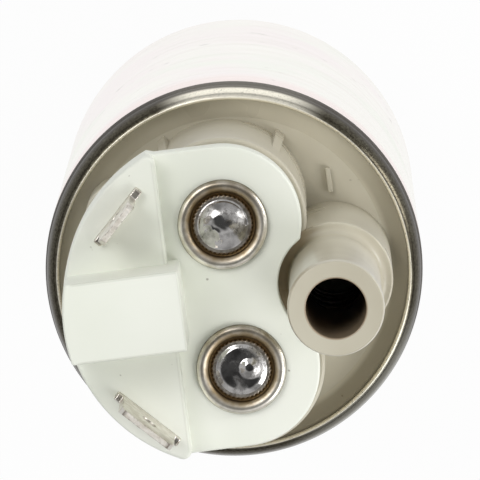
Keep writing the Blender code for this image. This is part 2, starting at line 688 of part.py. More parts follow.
def board_outline():
    """The board seen from above: two lobes, the notch round the column and the big outer arc."""
    reach = hypot(COLUMN_OFFSET, POST_OFFSET)
    along = (BOARD_LOBE_RADIUS**2 - NOTCH_RADIUS**2 + reach**2) / (2 * reach)
    aside = sqrt(BOARD_LOBE_RADIUS**2 - along**2)
    towards = Vector((COLUMN_OFFSET, -POST_OFFSET)) / reach
    corner = Vector((0, POST_OFFSET)) + along * towards + aside * Vector((-towards.y, towards.x))
    lobe_end = atan2(corner.y - POST_OFFSET, corner.x)
    notch_start = atan2(corner.y, corner.x - COLUMN_OFFSET)
    edge_y = POST_OFFSET + BOARD_LOBE_RADIUS
    edge_start = acos((STEP_PLACE - STEP_CORNER) / BOARD_EDGE_RADIUS)
    half = arc((0, 0), BOARD_EDGE_RADIUS, pi, edge_start, 14)
    half += [(STEP_PLACE, edge_y)]
    half += arc((0, POST_OFFSET), BOARD_LOBE_RADIUS, pi / 2, lobe_end, 12)
    half += arc((COLUMN_OFFSET, 0), NOTCH_RADIUS, notch_start, pi, 6)[1:]
    return half + mirrored(half)[1:-1]


def make_strip(name, place, side, room, low, high, look):
    """The flat strip from a blade to its eyelet, with the ring at its end and room all round."""
    eyelet = Vector((0, side * POST_OFFSET))
    start = Vector(place)
    span = eyelet - start
    half = STRIP_WIDTH / 2 + room
    radius = STRIP_RING_RADIUS + room
    neck = asin(half / radius)
    outline = [(0, half), (0, -half)]
    outline += arc((span.length, 0), radius, neck - pi, pi - neck, SMALL_STEPS)
    strip = prism(name, outline, low, high, look, (*place, 0))
    strip.rotation_euler.z = atan2(span.y, span.x)
    return strip


def make_terminal_board():
    """The white board: lobed plate, raised segment, key block, holes, slots and strip recesses."""
    bm = bmesh.new()
    base = bm.faces.new([bm.verts.new((x, y, BOARD_LOW)) for x, y in board_outline()])
    grown = bmesh.ops.extrude_face_region(bm, geom=[base])
    top = [item for item in grown["geom"] if isinstance(item, bmesh.types.BMVert)]
    bmesh.ops.translate(bm, verts=top, vec=(0, 0, BOARD_THICKNESS))
    lid = [face for face in bm.faces if face.calc_center_median().z > BOARD_TOP - DOUBLES]
    geometry = lid + list({edge for face in lid for edge in face.edges})
    geometry += list({vert for face in lid for vert in face.verts})
    bmesh.ops.bisect_plane(
        bm, geom=geometry, dist=DOUBLES, plane_co=(STEP_PLACE, 0, 0), plane_no=(1, 0, 0)
    )
    raised = [
        face
        for face in bm.faces
        if face.calc_center_median().z > BOARD_TOP - DOUBLES
        and face.calc_center_median().x < STEP_PLACE
    ]
    grown = bmesh.ops.extrude_face_region(bm, geom=raised)
    lifted = [item for item in grown["geom"] if isinstance(item, bmesh.types.BMVert)]
    bmesh.ops.translate(bm, verts=lifted, vec=(0, 0, STEP_HEIGHT))
    bmesh.ops.delete(bm, geom=raised, context="FACES_ONLY")
    board = finish_mesh(bm, "terminal_board", WHITE, (0, 0, 0))
    join(board, make_key())
    for name, place, side, blade_width, base_width in BLADES:
        turn = side * BLADE_TURN
        size = (base_width + 2 * PUSH_FIT, BLADE_THICKNESS + 2 * PUSH_FIT, 4 * STEP_HEIGHT)
        cut(board, block("blade_slot", size, (*place, BOARD_TOP), WHITE, turn))
        low = BOARD_LOW - WELD
        high = STRIP_TOP + REST_GAP
        cut(board, make_strip("recess", place, side, PUSH_FIT, low, high, WHITE))
        hole = rod(
            "eyelet_hole",
            EYELET_HOLE_RADIUS,
            low,
            BOARD_TOP + WELD,
            WHITE,
            (0, side * POST_OFFSET),
            SMALL_STEPS,
        )
        cut(board, hole)


def make_key():
    """The key block that guides the plug, its outer side following the board's edge."""
    radius = BOARD_EDGE_RADIUS - KEY_INSET
    low_y = KEY_SHIFT - KEY_WIDTH / 2
    high_y = KEY_SHIFT + KEY_WIDTH / 2
    outline = [(KEY_FRONT, low_y), (KEY_FRONT, high_y)]
    outline += arc((0, 0), radius, pi - asin(high_y / radius), pi - asin(low_y / radius), 6)
    key = prism("key", outline, BOARD_LOW + WELD * 2, KEY_TOP, WHITE)
    rounding = key.modifiers.new("edges", "BEVEL")
    rounding.width = KEY_ROUND
    rounding.segments = 2
    rounding.limit_method = "ANGLE"
    return key


def make_blade(name, place, side, blade_width, base_width):
    """A spade blade with shoulders, a tapered tip and a detent hole, and its strip and ring."""
    top = STEP_TOP + BLADE_RISE
    shoulder = STEP_TOP + SHOULDER_RISE
    half = [
        (base_width / 2, BOARD_LOW + BLADE_THICKNESS / 2),
        (base_width / 2, shoulder),
        (blade_width / 2, shoulder),
        (blade_width / 2, top - BLADE_TIP_TAPER),
        (blade_width / 2 - BLADE_TIP_TAPER / 2, top),
    ]
    outline = half + [(-x, z) for x, z in reversed(half)]
    bm = bmesh.new()
    face = bm.faces.new([bm.verts.new((x, -BLADE_THICKNESS / 2, z)) for x, z in outline])
    grown = bmesh.ops.extrude_face_region(bm, geom=[face])
    far = [item for item in grown["geom"] if isinstance(item, bmesh.types.BMVert)]
    bmesh.ops.translate(bm, verts=far, vec=(0, BLADE_THICKNESS, 0))
    blade = finish_mesh(bm, name, NICKEL, (*place, 0))
    blade.rotation_euler.z = side * BLADE_TURN
    join(blade, make_strip(f"{name}_strip", place, side, 0, BOARD_LOW, STRIP_TOP, NICKEL))
    eyelet = (0, side * POST_OFFSET)
    hole = rod(
        "ring_hole",
        EYELET_BARREL_RADIUS + PRESS_FIT * 3,
        BOARD_LOW - WELD,
        STRIP_TOP + WELD,
        NICKEL,
        eyelet,
        SMALL_STEPS,
    )
    cut(blade, hole)
    detent = rod(
        "detent", DETENT_RADIUS, -BLADE_THICKNESS, BLADE_THICKNESS, NICKEL, steps=TINY_STEPS
    )
    detent.location = (*place, (top + shoulder) / 2)
    detent.rotation_euler = (pi / 2, 0, side * BLADE_TURN)
    cut(blade, detent)


def make_eyelet(name, place):
    """A rolled eyelet: a beaded flange on the board and a barrel down into the boss."""
    inner = EYELET_BARREL_RADIUS - EYELET_WALL
    low = BOARD_TOP - EYELET_DEPTH
    seat = BOARD_TOP + PRESS_FIT
    crest = BOARD_TOP + EYELET_CREST_HEIGHT
    bead = EYELET_FLANGE_RADIUS - EYELET_CREST_RADIUS
    outer_bead = arc((EYELET_CREST_RADIUS, crest - bead), bead, pi / 2, 0, 3)
    inner_bead = arc(
        (EYELET_CREST_RADIUS, crest - bead), EYELET_CREST_RADIUS - inner, pi, pi / 2, 3
    )
    inner_bead = [(radius, min(height, crest)) for radius, height in inner_bead]
    profile = inner_bead[:-1] + outer_bead
    profile += [(EYELET_FLANGE_RADIUS, seat), (EYELET_BARREL_RADIUS, seat)]
    profile += [(EYELET_BARREL_RADIUS, low), (inner, low)]
    turned(name, profile, NICKEL, SMALL_STEPS, (*place, 0))


def make_post(name, place):
    """A knurled terminal post with a plain tail, moulded into the boss."""
    outline = []
    for number in range(2 * POST_KNURLS):
        angle = pi * number / POST_KNURLS
        radius = POST_RADIUS - KNURL_DEPTH * (number % 2)
        outline.append((radius * cos(angle), radius * sin(angle)))
    post = prism(name, outline, POST_LOW, POST_TOP, STEEL, (*place, 0))
    low = POST_LOW - TAIL_LENGTH
    join(post, rod(f"{name}_tail", TAIL_RADIUS, low, POST_LOW + WELD, STEEL, place, TINY_STEPS))


def make_solder(name, place):
    """The solder dome on top of a post."""
    low = POST_TOP + REST_GAP / 3
    dome = [
        (SOLDER_RADIUS * cos(pi / 2 * number / 5), low + SOLDER_HEIGHT * sin(pi / 2 * number / 5))
        for number in range(5, -1, -1)
    ]
    dome[0] = (0, low + SOLDER_HEIGHT)
    turned(name, dome + [(0, low)], SOLDER, SMALL_STEPS, (*place, 0))


def make_choke(letter, side):
    """An interference choke: a ferrite rod with a close winding."""
    place = (CHOKE_OFFSET, side * POST_OFFSET)
    top = CHOKE_POCKET_TOP - REST_GAP
    low = top - CHOKE_LENGTH
    rod(f"choke_core_{letter}", FERRITE_RADIUS, low, top, FERRITE, place, TINY_STEPS)
    radius = FERRITE_RADIUS + REST_GAP + CHOKE_WIRE
    inset = CHOKE_WIRE * 2
    coil(
        f"choke_coil_{letter}",
        radius,
        CHOKE_WIRE,
        CHOKE_TURNS,
        low + inset,
        top - inset,
        COPPER,
        place,
        0,
    )


def make_brush(letter, side):
    """An axial carbon brush and the spring behind it."""
    place = (0, side * POST_OFFSET)
    size = (BRUSH_SIDE, BRUSH_SIDE, BRUSH_LENGTH)
    brush = block(f"brush_{letter}", size, (*place, (BRUSH_LOW + BRUSH_TOP) / 2), CARBON)
    edges = brush.modifiers.new("edges", "BEVEL")
    edges.width = REST_GAP
    edges.limit_method = "ANGLE"
    coil(
        f"brush_spring_{letter}",
        BRUSH_SPRING_RADIUS,
        BRUSH_SPRING_WIRE,
        BRUSH_SPRING_TURNS,
        BRUSH_TOP + PUSH_FIT,
        BRUSH_POCKET_TOP - PUSH_FIT,
        STEEL,
        place,
        0,
    )


def make_seal():
    """The O-ring in the outlet cover's groove."""
    middle = COVER_RADIUS - SEAL_GROOVE_DEPTH + SEAL_RADIUS + PUSH_FIT
    height = FLOOR - SEAL_DEPTH
    section = arc((middle, height), SEAL_RADIUS, 2 * pi, 2 * pi / SEAL_SIDES, SEAL_SIDES - 1)
    turned("seal_ring", section, RUBBER, ROUND_STEPS)


def make_check_valve():
    """The outlet check valve: seat ring, poppet with guide fins, and spring."""
    place = (COLUMN_OFFSET, 0, 0)
    outer = VALVE_BORE_RADIUS - PUSH_FIT
    seat = [
        (SEAT_BORE_RADIUS, SEAT_LOW),
        (SEAT_BORE_RADIUS, SEAT_TOP),
        (outer, SEAT_TOP),
        (outer, SEAT_LOW),
    ]
    turned("check_seat", seat, BRASS, SMALL_STEPS, place)
    head = [
        (0, POPPET_TOP + POPPET_SPIGOT),
        (POPPET_SPIGOT, POPPET_TOP + POPPET_SPIGOT),
        (POPPET_SPIGOT, POPPET_TOP),
        (POPPET_RADIUS, POPPET_TOP),
        (POPPET_RADIUS, POPPET_LOW + POPPET_HEAD / 3),
        (POPPET_RADIUS - POPPET_HEAD / 3, POPPET_LOW),
        (0, POPPET_LOW),
    ]
    poppet = turned("check_poppet", head, WHITE, SMALL_STEPS, place)
    reach = 2 * (SEAT_BORE_RADIUS - PUSH_FIT) * cos(pi / SMALL_STEPS)
    height = POPPET_FIN_LENGTH + WELD
    middle = POPPET_LOW + WELD - height / 2
    for number, size in enumerate(((reach, POPPET_FIN), (POPPET_FIN, reach))):
        extra = number * WELD / 10
        tall = (*size, height - extra)
        join(poppet, block("fin", tall, (COLUMN_OFFSET, 0, middle - extra / 4), WHITE))
    coil(
        "check_spring",
        CHECK_SPRING_RADIUS,
        CHECK_SPRING_WIRE,
        CHECK_SPRING_TURNS,
        POPPET_TOP + PUSH_FIT,
        VALVE_BORE_TOP - PUSH_FIT,
        STEEL,
        place[:2],
        0,
    )


def make_relief_valve():
    """The relief valve: steel ball, spring and pressed plug."""
    bm = bmesh.new()
    bmesh.ops.create_uvsphere(
        bm, u_segments=TINY_STEPS, v_segments=TINY_STEPS // 2, radius=BALL_RADIUS
    )
    finish_mesh(bm, "relief_ball", STEEL, (*RELIEF_PLACE, BALL_CENTRE))
    top = BALL_CENTRE + sqrt(BALL_RADIUS**2 - (RELIEF_SPRING_RADIUS - RELIEF_SPRING_WIRE) ** 2)
    coil(
        "relief_spring",
        RELIEF_SPRING_RADIUS,
        RELIEF_SPRING_WIRE,
        RELIEF_SPRING_TURNS,
        top + PUSH_FIT,
        PLUG_LOW - PUSH_FIT,
        STEEL,
        RELIEF_PLACE,
        0,
    )
    outer = RELIEF_BORE_RADIUS - PUSH_FIT
    plug = [
        (PLUG_BORE_RADIUS, PLUG_LOW),
        (PLUG_BORE_RADIUS, PLUG_TOP),
        (outer, PLUG_TOP),
        (outer, PLUG_LOW),
    ]
    turned("relief_plug", plug, BRASS, SMALL_STEPS, (*RELIEF_PLACE, 0))


def make_bush(name, low):
    """A sintered bearing bush."""
    bore = SHAFT_RADIUS + RUNNING_FIT
    profile = [
        (bore, low),
        (bore, low + BUSH_LENGTH),
        (BUSH_RADIUS, low + BUSH_LENGTH),
        (BUSH_RADIUS, low),
    ]
    turned(name, profile, BRONZE, SMALL_STEPS)


def make_shaft():
    """The shaft, with a flat where it drives the impeller."""
    edge = PUSH_FIT
    profile = [
        (0, SHAFT_TOP),
        (SHAFT_RADIUS - edge, SHAFT_TOP),
        (SHAFT_RADIUS, SHAFT_TOP - edge),
        (SHAFT_RADIUS, SHAFT_LOW + edge),
        (SHAFT_RADIUS - edge, SHAFT_LOW),
        (0, SHAFT_LOW),
    ]
    shaft = turned("shaft", profile, STEEL, SMALL_STEPS)
    low = SHAFT_LOW - WELD
    high = CASING_PLATE_LOW + REST_GAP
    size = (SHAFT_RADIUS, 2 * SHAFT_RADIUS + WELD, high - low)
    centre = (SHAFT_FLAT + SHAFT_RADIUS / 2, 0, (low + high) / 2)
    cut(shaft, block("shaft_flat", size, centre, STEEL))


def tooth_outline(inset):
    """The armature's outline: mushroom-shaped teeth round a hub, drawn in by the inset."""
    tip = CORE_RADIUS - inset
    under = tip - TOOTH_TIP + inset
    half_neck = TOOTH_NECK / 2 - inset / 2
    half_tip = pi / TEETH - asin((SLOT_MOUTH / 2 + inset / 2) / tip)
    root = CORE_ROOT_RADIUS - inset
    neck_low = asin(half_neck / root)
    neck_high = asin(half_neck / under)
    outline = []
    for tooth in range(TEETH):
        middle = 2 * pi * tooth / TEETH
        for radius, angle in (
            (root, -neck_low),
            (under, -neck_high),
            (under, -half_tip),
            (tip, -half_tip),
            (tip, 0),
            (tip, half_tip),
            (under, half_tip),
            (under, neck_high),
            (root, neck_low),
        ):
            outline.append((radius * cos(middle + angle), radius * sin(middle + angle)))
    return outline


def make_laminated(name, low, high, inset, look):
    """The core or an end insulator: the toothed outline with the shaft's hole."""
    piece = prism(name, tooth_outline(inset), low, high, look)
    hole = rod(f"{name}_hole", SHAFT_HOLE, low - WELD, high + WELD, look, steps=SMALL_STEPS)
    cut(piece, hole)


def end_turns(name, low, high):
    """A ring of end turns with a rounded section."""
    middle = (END_TURN_INNER_RADIUS + END_TURN_OUTER_RADIUS) / 2
    half_width = (END_TURN_OUTER_RADIUS - END_TURN_INNER_RADIUS) / 2
    centre = (low + high) / 2
    half_height = (high - low) / 2
    side_angle = 2 * pi / END_TURN_SIDES
    section = [
        (
            middle + half_width * cos(side_angle * number),
            centre + half_height * sin(side_angle * number) / cos(side_angle / 2),
        )
        for number in range(END_TURN_SIDES)
    ]
    return turned(name, section, ENAMEL, SMALL_STEPS)


def make_winding():
    """The coils: two rings of end turns, joined by the bundles that fill the slots."""
    winding = end_turns("winding", LOWER_TURNS_LOW, LOWER_TURNS_TOP)
    join(winding, end_turns("upper_turns", UPPER_TURNS_LOW, UPPER_TURNS_TOP))
    low = (LOWER_TURNS_LOW + LOWER_TURNS_TOP) / 2
    high = (UPPER_TURNS_LOW + UPPER_TURNS_TOP) / 2
    slot_angle = pi / TEETH
    inner = CORE_ROOT_RADIUS + BUNDLE_ROOT_ROOM
    outer = CORE_RADIUS - TOOTH_TIP - 2 * REST_GAP
    for number in range(TEETH):
        outline = []
        for radius in (inner, outer):
            half = radius * sin(slot_angle) - TOOTH_NECK / 2 / cos(slot_angle) - REST_GAP
            half *= cos(slot_angle)
            outline.append((radius * cos(slot_angle), half))
        (near, near_half), (far, far_half) = outline
        bundle = prism(
            "bundle",
            [(near, -near_half), (far, -far_half), (far, far_half), (near, near_half)],
            low,
            high,
            ENAMEL,
        )
        bundle.rotation_euler.z = slot_angle * (2 * number + 1)
        join(winding, bundle)


def make_commutator():
    """The face commutator: a disc whose copper face is cut into bars."""
    profile = [
        (SHAFT_HOLE, COMMUTATOR_LOW),
        (SHAFT_HOLE, COMMUTATOR_TOP),
        (COMMUTATOR_RADIUS, COMMUTATOR_TOP),
        (COMMUTATOR_RADIUS, COMMUTATOR_LOW),
    ]
    commutator = turned("commutator", profile, COPPER, SMALL_STEPS)
    low = COMMUTATOR_TOP - COMMUTATOR_SLOT_DEPTH
    height = COMMUTATOR_SLOT_DEPTH + WELD
    for number in range(COMMUTATOR_BARS // 2):
        size = (3 * COMMUTATOR_RADIUS, COMMUTATOR_SLOT, height)
        turn = 2 * pi * (number + 0.5) / COMMUTATOR_BARS
        cut(commutator, block("bar_slot", size, (0, 0, low + height / 2), COPPER, turn))


def make_magnet(name, middle):
    """One of the two arc magnets."""
    outer = arc(
        (0, 0), MAGNET_OUTER, middle - MAGNET_HALF_ANGLE, middle + MAGNET_HALF_ANGLE, MAGNET_STEPS
    )
    inner = arc(
        (0, 0), MAGNET_INNER, middle + MAGNET_HALF_ANGLE, middle - MAGNET_HALF_ANGLE, MAGNET_STEPS
    )
    prism(name, outer + inner, MAGNET_LOW, MAGNET_TOP, FERRITE)


def make_clip(name, middle):
    """A spring clip that presses the ends of the magnets apart."""
    outer = MAGNET_OUTER
    thin = outer - CLIP_THICKNESS
    half = pi / 2 - MAGNET_HALF_ANGLE - asin(REST_GAP / outer)
    leg = asin(CLIP_THICKNESS / outer)
    outline = arc((0, 0), outer, middle - half, middle + half, 6)
    outline += [
        (radius * cos(middle + angle), radius * sin(middle + angle))
        for radius, angle in ((thin - CLIP_LEG, half), (thin - CLIP_LEG, half - leg))
    ]
    outline += arc((0, 0), thin, middle + half - leg, middle - half + leg, 6)
    outline += [
        (radius * cos(middle + angle), radius * sin(middle + angle))
        for radius, angle in ((thin - CLIP_LEG, leg - half), (thin - CLIP_LEG, -half))
    ]
    prism(name, outline, MAGNET_LOW + CLIP_INSET, MAGNET_TOP - CLIP_INSET, STEEL)


def make_impeller():
    """The vane wheel: radial vanes on both faces, a thin web between them, and a D-shaped bore."""
    root = IMPELLER_RADIUS - VANE_LENGTH
    pitch = 2 * pi / IMPELLER_VANES
    outline = []
    for number in range(IMPELLER_VANES):
        start = pitch * number
        outline += arc((0, 0), IMPELLER_RADIUS, start, start + pitch * VANE_SHARE, 1)
        outline += arc((0, 0), root, start + pitch * VANE_SHARE, start + pitch, 1)
    impeller = prism("impeller", outline, IMPELLER_LOW, IMPELLER_TOP, PHENOLIC)
    middle = (IMPELLER_LOW + IMPELLER_TOP) / 2
    web = rod(
        "web",
        IMPELLER_RADIUS - IMPELLER_WEB_RECESS,
        middle - IMPELLER_WEB / 2,
        middle + IMPELLER_WEB / 2,
        PHENOLIC,
        steps=IMPELLER_VANES,
    )
    web.rotation_euler.z = pitch * VANE_SHARE / 2
    join(impeller, web)
    bore = rod(
        "bore",
        SHAFT_HOLE,
        IMPELLER_LOW - WELD,
        IMPELLER_TOP + WELD,
        PHENOLIC,
        steps=SMALL_STEPS,
    )
    size = (SHAFT_RADIUS, 3 * SHAFT_RADIUS, 2 * IMPELLER_THICKNESS)
    centre = (SHAFT_FLAT + PRESS_FIT + SHAFT_RADIUS / 2, 0, middle)
    cut(bore, block("bore_flat", size, centre, PHENOLIC))
    cut(impeller, bore)
    for number in range(BALANCE_HOLES):
        angle = 2 * pi * (number + 0.5) / BALANCE_HOLES
        place = (BALANCE_HOLE_PLACE * cos(angle), BALANCE_HOLE_PLACE * sin(angle))
        hole = rod(
            "balance_hole",
            BALANCE_HOLE_RADIUS,
            IMPELLER_LOW - WELD,
            IMPELLER_TOP + WELD,
            PHENOLIC,
            place,
            TINY_STEPS,
        )
        cut(impeller, hole)


def channel(name, height):
    """The cutter of the flow channel: a round groove swept most of the way round."""
    bm = bmesh.new()
    section = [
        bm.verts.new(
            (
                CHANNEL_RADIUS + CHANNEL_HALF_WIDTH * cos(2 * pi * (number + 0.5) / CHANNEL_SIDES),
                0,
                height + CHANNEL_DEPTH * sin(2 * pi * (number + 0.5) / CHANNEL_SIDES),
            )
        )
        for number in range(CHANNEL_SIDES)
    ]
    face = bm.faces.new(section)
    start = Matrix.Rotation(pi - CHANNEL_SWEEP, 4, "Z")
    bmesh.ops.transform(bm, matrix=start, verts=section)
    bmesh.ops.spin(
        bm,
        geom=[face],
        cent=(0, 0, 0),
        axis=(0, 0, 1),
        angle=CHANNEL_SWEEP,
        steps=CHANNEL_STEPS,
    )
    return finish_mesh(bm, name, ALUMINIUM, (0, 0, 0))


def make_pump_casing():
    """The upper half of the pump chamber: the ring round the impeller, the plate and the hub."""
    ring = IMPELLER_RADIUS + RING_ROOM
    pocket = BUSH_RADIUS + PUSH_FIT
    profile = [
        (SHAFT_RADIUS + PUSH_FIT, CASING_PLATE_LOW),
        (SHAFT_RADIUS + PUSH_FIT, LOWER_BUSH_LOW - REST_GAP),
        (pocket, LOWER_BUSH_LOW - REST_GAP),
        (pocket, HUB_TOP),
        (CASING_HUB_RADIUS, HUB_TOP),
        (CASING_HUB_RADIUS, CASING_TOP),
        (COVER_RADIUS, CASING_TOP),
        (COVER_RADIUS, CASING_LOW),
        (ring, CASING_LOW),
        (ring, CASING_PLATE_LOW),
    ]
    casing = turned("pump_casing", profile, ALUMINIUM, FINE_STEPS)
    cut(casing, channel("upper_channel", CASING_PLATE_LOW))
    angle = pi - CHANNEL_SWEEP + asin(PORT_RADIUS / CHANNEL_RADIUS)
    place = (CHANNEL_RADIUS * cos(angle), CHANNEL_RADIUS * sin(angle))
    port = rod(
        "discharge_port",
        PORT_RADIUS - PUSH_FIT,
        CASING_PLATE_LOW - WELD,
        CASING_TOP + WELD,
        ALUMINIUM,
        place,
        SMALL_STEPS,
    )
    cut(casing, port)


def make_inlet_cover():
    """The lower half of the pump chamber, with the suction neck and the channel."""
    profile = [
        (0, INLET_TOP),
        (COVER_RADIUS, INLET_TOP),
        (COVER_RADIUS, INLET_LOW),
        (0, INLET_LOW),
    ]
    cover = turned("inlet_cover", profile, ALUMINIUM, FINE_STEPS)
    neck_low = INLET_LOW - NECK_LENGTH
    bead = NECK_RADIUS + NECK_BEAD
    neck = [
        (0, INLET_LOW + 2 * WELD),
        (NECK_RADIUS, INLET_LOW + 2 * WELD),
        (NECK_RADIUS, neck_low + 5 * NECK_BEAD),
        (bead, neck_low + 4 * NECK_BEAD),
        (bead, neck_low + 2 * NECK_BEAD),
        (NECK_RADIUS, neck_low),
        (0, neck_low),
    ]
    place = (NECK_OFFSET, 0)
    join(cover, turned("neck", neck, ALUMINIUM, place=(*place, 0)))
    bore = rod(
        "neck_bore",
        NECK_BORE_RADIUS,
        neck_low - WELD,
        INLET_LOW + NECK_BORE_DEPTH,
        ALUMINIUM,
        place,
    )
    port = rod(
        "suction_port",
        PORT_RADIUS - PUSH_FIT,
        INLET_LOW + NECK_BORE_DEPTH - WELD,
        INLET_TOP + WELD,
        ALUMINIUM,
        (-CHANNEL_RADIUS + PRESS_FIT, 0),
        SMALL_STEPS,
    )
    thrust = rod(
        "thrust_pocket",
        THRUST_RADIUS + PUSH_FIT,
        THRUST_TOP - THRUST_LENGTH - REST_GAP,
        INLET_TOP + WELD,
        ALUMINIUM,
        steps=SMALL_STEPS,
    )
    cut(cover, bore, channel("lower_channel", INLET_TOP), port, thrust)


def make_thrust_button():
    """The hard button that the shaft's end runs on."""
    low = THRUST_TOP - THRUST_LENGTH
    profile = [
        (0, THRUST_TOP),
        (THRUST_RADIUS / 2, THRUST_TOP - THRUST_DOME / 3),
        (THRUST_RADIUS, THRUST_TOP - THRUST_DOME),
        (THRUST_RADIUS, low),
        (0, low),
    ]
    turned("thrust_button", profile, STEEL, SMALL_STEPS)


def clear_scene():
    """Removes whatever the start-up scene holds."""
    for item in list(bpy.data.objects):
        bpy.data.objects.remove(item, do_unlink=True)


def build():
    """Makes every piece of the pump."""
    clear_scene()
    make_shell()
    make_outlet_cover()
    make_seal()
    make_terminal_board()
    for blade in BLADES:
        make_blade(*blade)
    for letter, side in (("a", 1), ("b", -1)):
        place = (0, side * POST_OFFSET)
        make_eyelet(f"eyelet_{letter}", place)
        make_post(f"post_{letter}", place)
        make_solder(f"solder_{letter}", place)
        make_choke(letter, side)
        make_brush(letter, side)
        make_magnet(f"magnet_{letter}", pi * (side - 1) / 2)
        make_clip(f"magnet_clip_{letter}", side * pi / 2)
    make_check_valve()
    make_relief_valve()
    make_bush("bush_upper", UPPER_BUSH_LOW)
    make_bush("bush_lower", LOWER_BUSH_LOW)
    make_shaft()
    make_laminated("armature_core", CORE_LOW, CORE_TOP, 0, STEEL)
    for name, low in (
        ("insulator_lower", LOWER_INSULATOR_LOW),
        ("insulator_upper", UPPER_INSULATOR_LOW),
    ):
        make_laminated(name, low, low + INSULATOR_THICKNESS, INSULATOR_INSET, PHENOLIC)
    make_winding()
    make_commutator()
    make_impeller()
    make_pump_casing()
    make_inlet_cover()
    make_thrust_button()


build()
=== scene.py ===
# %% [markdown]
# # In-tank fuel pump
# The imported CAD model is the fixed frame of this scene, and it is loaded first. The dressed model may
# not grow out of it. Lengths are written in millimetres, as a maker would write them, and become metres
# when a mesh is made.

import math

import bmesh
import bpy
import numpy as np
from mathutils import Matrix, Vector
from mathutils.geometry import delaunay_2d_cdt


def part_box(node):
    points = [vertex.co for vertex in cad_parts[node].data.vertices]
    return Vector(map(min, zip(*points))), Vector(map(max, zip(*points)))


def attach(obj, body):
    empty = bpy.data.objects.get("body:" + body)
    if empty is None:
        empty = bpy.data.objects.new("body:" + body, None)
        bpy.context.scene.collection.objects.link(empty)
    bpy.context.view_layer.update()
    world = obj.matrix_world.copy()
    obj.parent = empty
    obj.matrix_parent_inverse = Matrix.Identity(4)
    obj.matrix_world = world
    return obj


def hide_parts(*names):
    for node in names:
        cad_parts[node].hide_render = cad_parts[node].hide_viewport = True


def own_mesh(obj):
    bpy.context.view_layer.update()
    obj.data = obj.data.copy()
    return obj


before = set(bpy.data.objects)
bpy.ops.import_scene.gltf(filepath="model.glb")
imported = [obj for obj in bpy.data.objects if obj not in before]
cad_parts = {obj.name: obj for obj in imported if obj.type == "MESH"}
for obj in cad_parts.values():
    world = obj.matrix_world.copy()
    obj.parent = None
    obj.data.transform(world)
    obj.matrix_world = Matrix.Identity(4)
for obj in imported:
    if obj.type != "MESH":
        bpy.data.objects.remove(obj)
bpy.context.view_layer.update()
MM = 0.001
TURN = 2 * math.pi

# %% [markdown]
# ## Surfaces from grids
# Nearly every piece of a pump is turned or moulded, so two surfaces are enough: a profile carried round an
# axis, and an outline carried up through a plate with rounded edges. Both are grids of points, worked out
# as whole arrays, and the faces join neighbours in the grid. Modelling by hand would give the same forms,
# but here one number moves a whole edge.


# %% Grids, corners and outlines
def grid_faces(rows, columns, wrap_rows=False, wrap_columns=False):
    """The quads between neighbours of a grid that is stored row by row, closed where it wraps."""
    row = np.arange(rows if wrap_rows else rows - 1)
    column = np.arange(columns if wrap_columns else columns - 1)
    row, column = (part.ravel() for part in np.meshgrid(row, column, indexing="ij"))
    after, beside = (row + 1) % rows, (column + 1) % columns
    corners = (row * columns + column, after * columns + column, after * columns + beside)
    return np.stack((*corners, row * columns + beside), axis=1)


def fillet(corners, radii, steps=5, closed=True):
    """Rounds a line's corners: each becomes an arc that touches both of its sides, with one more point
    on each side close to the arc, so that flat sides shade flat. A radius of 0 keeps the corner."""
    corners = np.asarray(corners, float)
    radii = np.broadcast_to(radii, len(corners))
    made = []
    for number, (corner, radius) in enumerate(zip(corners, radii)):
        if radius <= 0 or (not closed and number in (0, len(corners) - 1)):
            made.append(corner[None])
            continue
        before, after = corners[number - 1] - corner, corners[(number + 1) % len(corners)] - corner
        before, after = before / np.linalg.norm(before), after / np.linalg.norm(after)
        half = math.acos(np.clip(before @ after, -1, 1)) / 2
        middle = corner + (before + after) / np.linalg.norm(before + after) * radius / math.sin(half)
        reach = radius / math.tan(half)
        start, stop = corner + before * reach - middle, corner + after * reach - middle
        share = np.linspace(0, 1, steps + 1)[:, None]
        sweep = math.pi - 2 * half
        arc = (np.sin((1 - share) * sweep) * start + np.sin(share * sweep) * stop) / math.sin(sweep)
        near = 0.12 * radius
        made += [(start + before * near + middle)[None], middle + arc, (stop + after * near + middle)[None]]
    return np.concatenate(made)


def circle(centre, radius, start=0.0, stop=TURN, steps=96):
    """Points on a circle's arc: centre plus radius times (cosine, sine). A full circle leaves out its
    last point, which is its first."""
    whole = abs(stop - start - TURN) < 1e-9
    angle = np.linspace(start, stop, steps + 1)[: steps if whole else None]
    return np.stack((centre[0] + radius * np.cos(angle), centre[1] + radius * np.sin(angle)), axis=1)


def area_of(outline):
    """Signed area of a closed outline: half the sum of the cross products of neighbours."""
    after = np.roll(outline, -1, axis=0)
    return 0.5 * float(np.sum(outline[:, 0] * after[:, 1] - after[:, 0] * outline[:, 1]))


def outward(outline):
    """The unit normal at each point: the chord from the point before to the one after, turned a quarter
    turn to the right, which is outwards where the outline runs anticlockwise."""
    chord = np.roll(outline, -1, axis=0) - np.roll(outline, 1, axis=0)
    chord = chord / np.maximum(np.linalg.norm(chord, axis=1, keepdims=True), 1e-12)
    return np.stack((chord[:, 1], -chord[:, 0]), axis=1)


def inside(points, outline):
    """Which points lie in an outline: those with an odd number of its sides to their right."""
    x, y = points[:, 0, None], points[:, 1, None]
    after = np.roll(outline, -1, axis=0)
    low, high = outline[:, 1][None], after[:, 1][None]
    share = (y - low) / np.where(high == low, 1e-12, high - low)
    crossing = outline[:, 0][None] + share * (after[:, 0] - outline[:, 0])[None]
    return np.sum(((low > y) != (high > y)) & (x < crossing), axis=1) % 2 == 1


print("a square's area is", area_of(np.array([(0, 0), (1, 0), (1, 1), (0, 1)], float)))

# %% [markdown]
# A turned surface needs the profile only: its points run along the section, and the grid's rows go round.
# A plate is an outline with rounded edges, above and below, and it may have holes. Its flat faces are
# filled with triangles between the loops, because a grid can't pass round a hole.


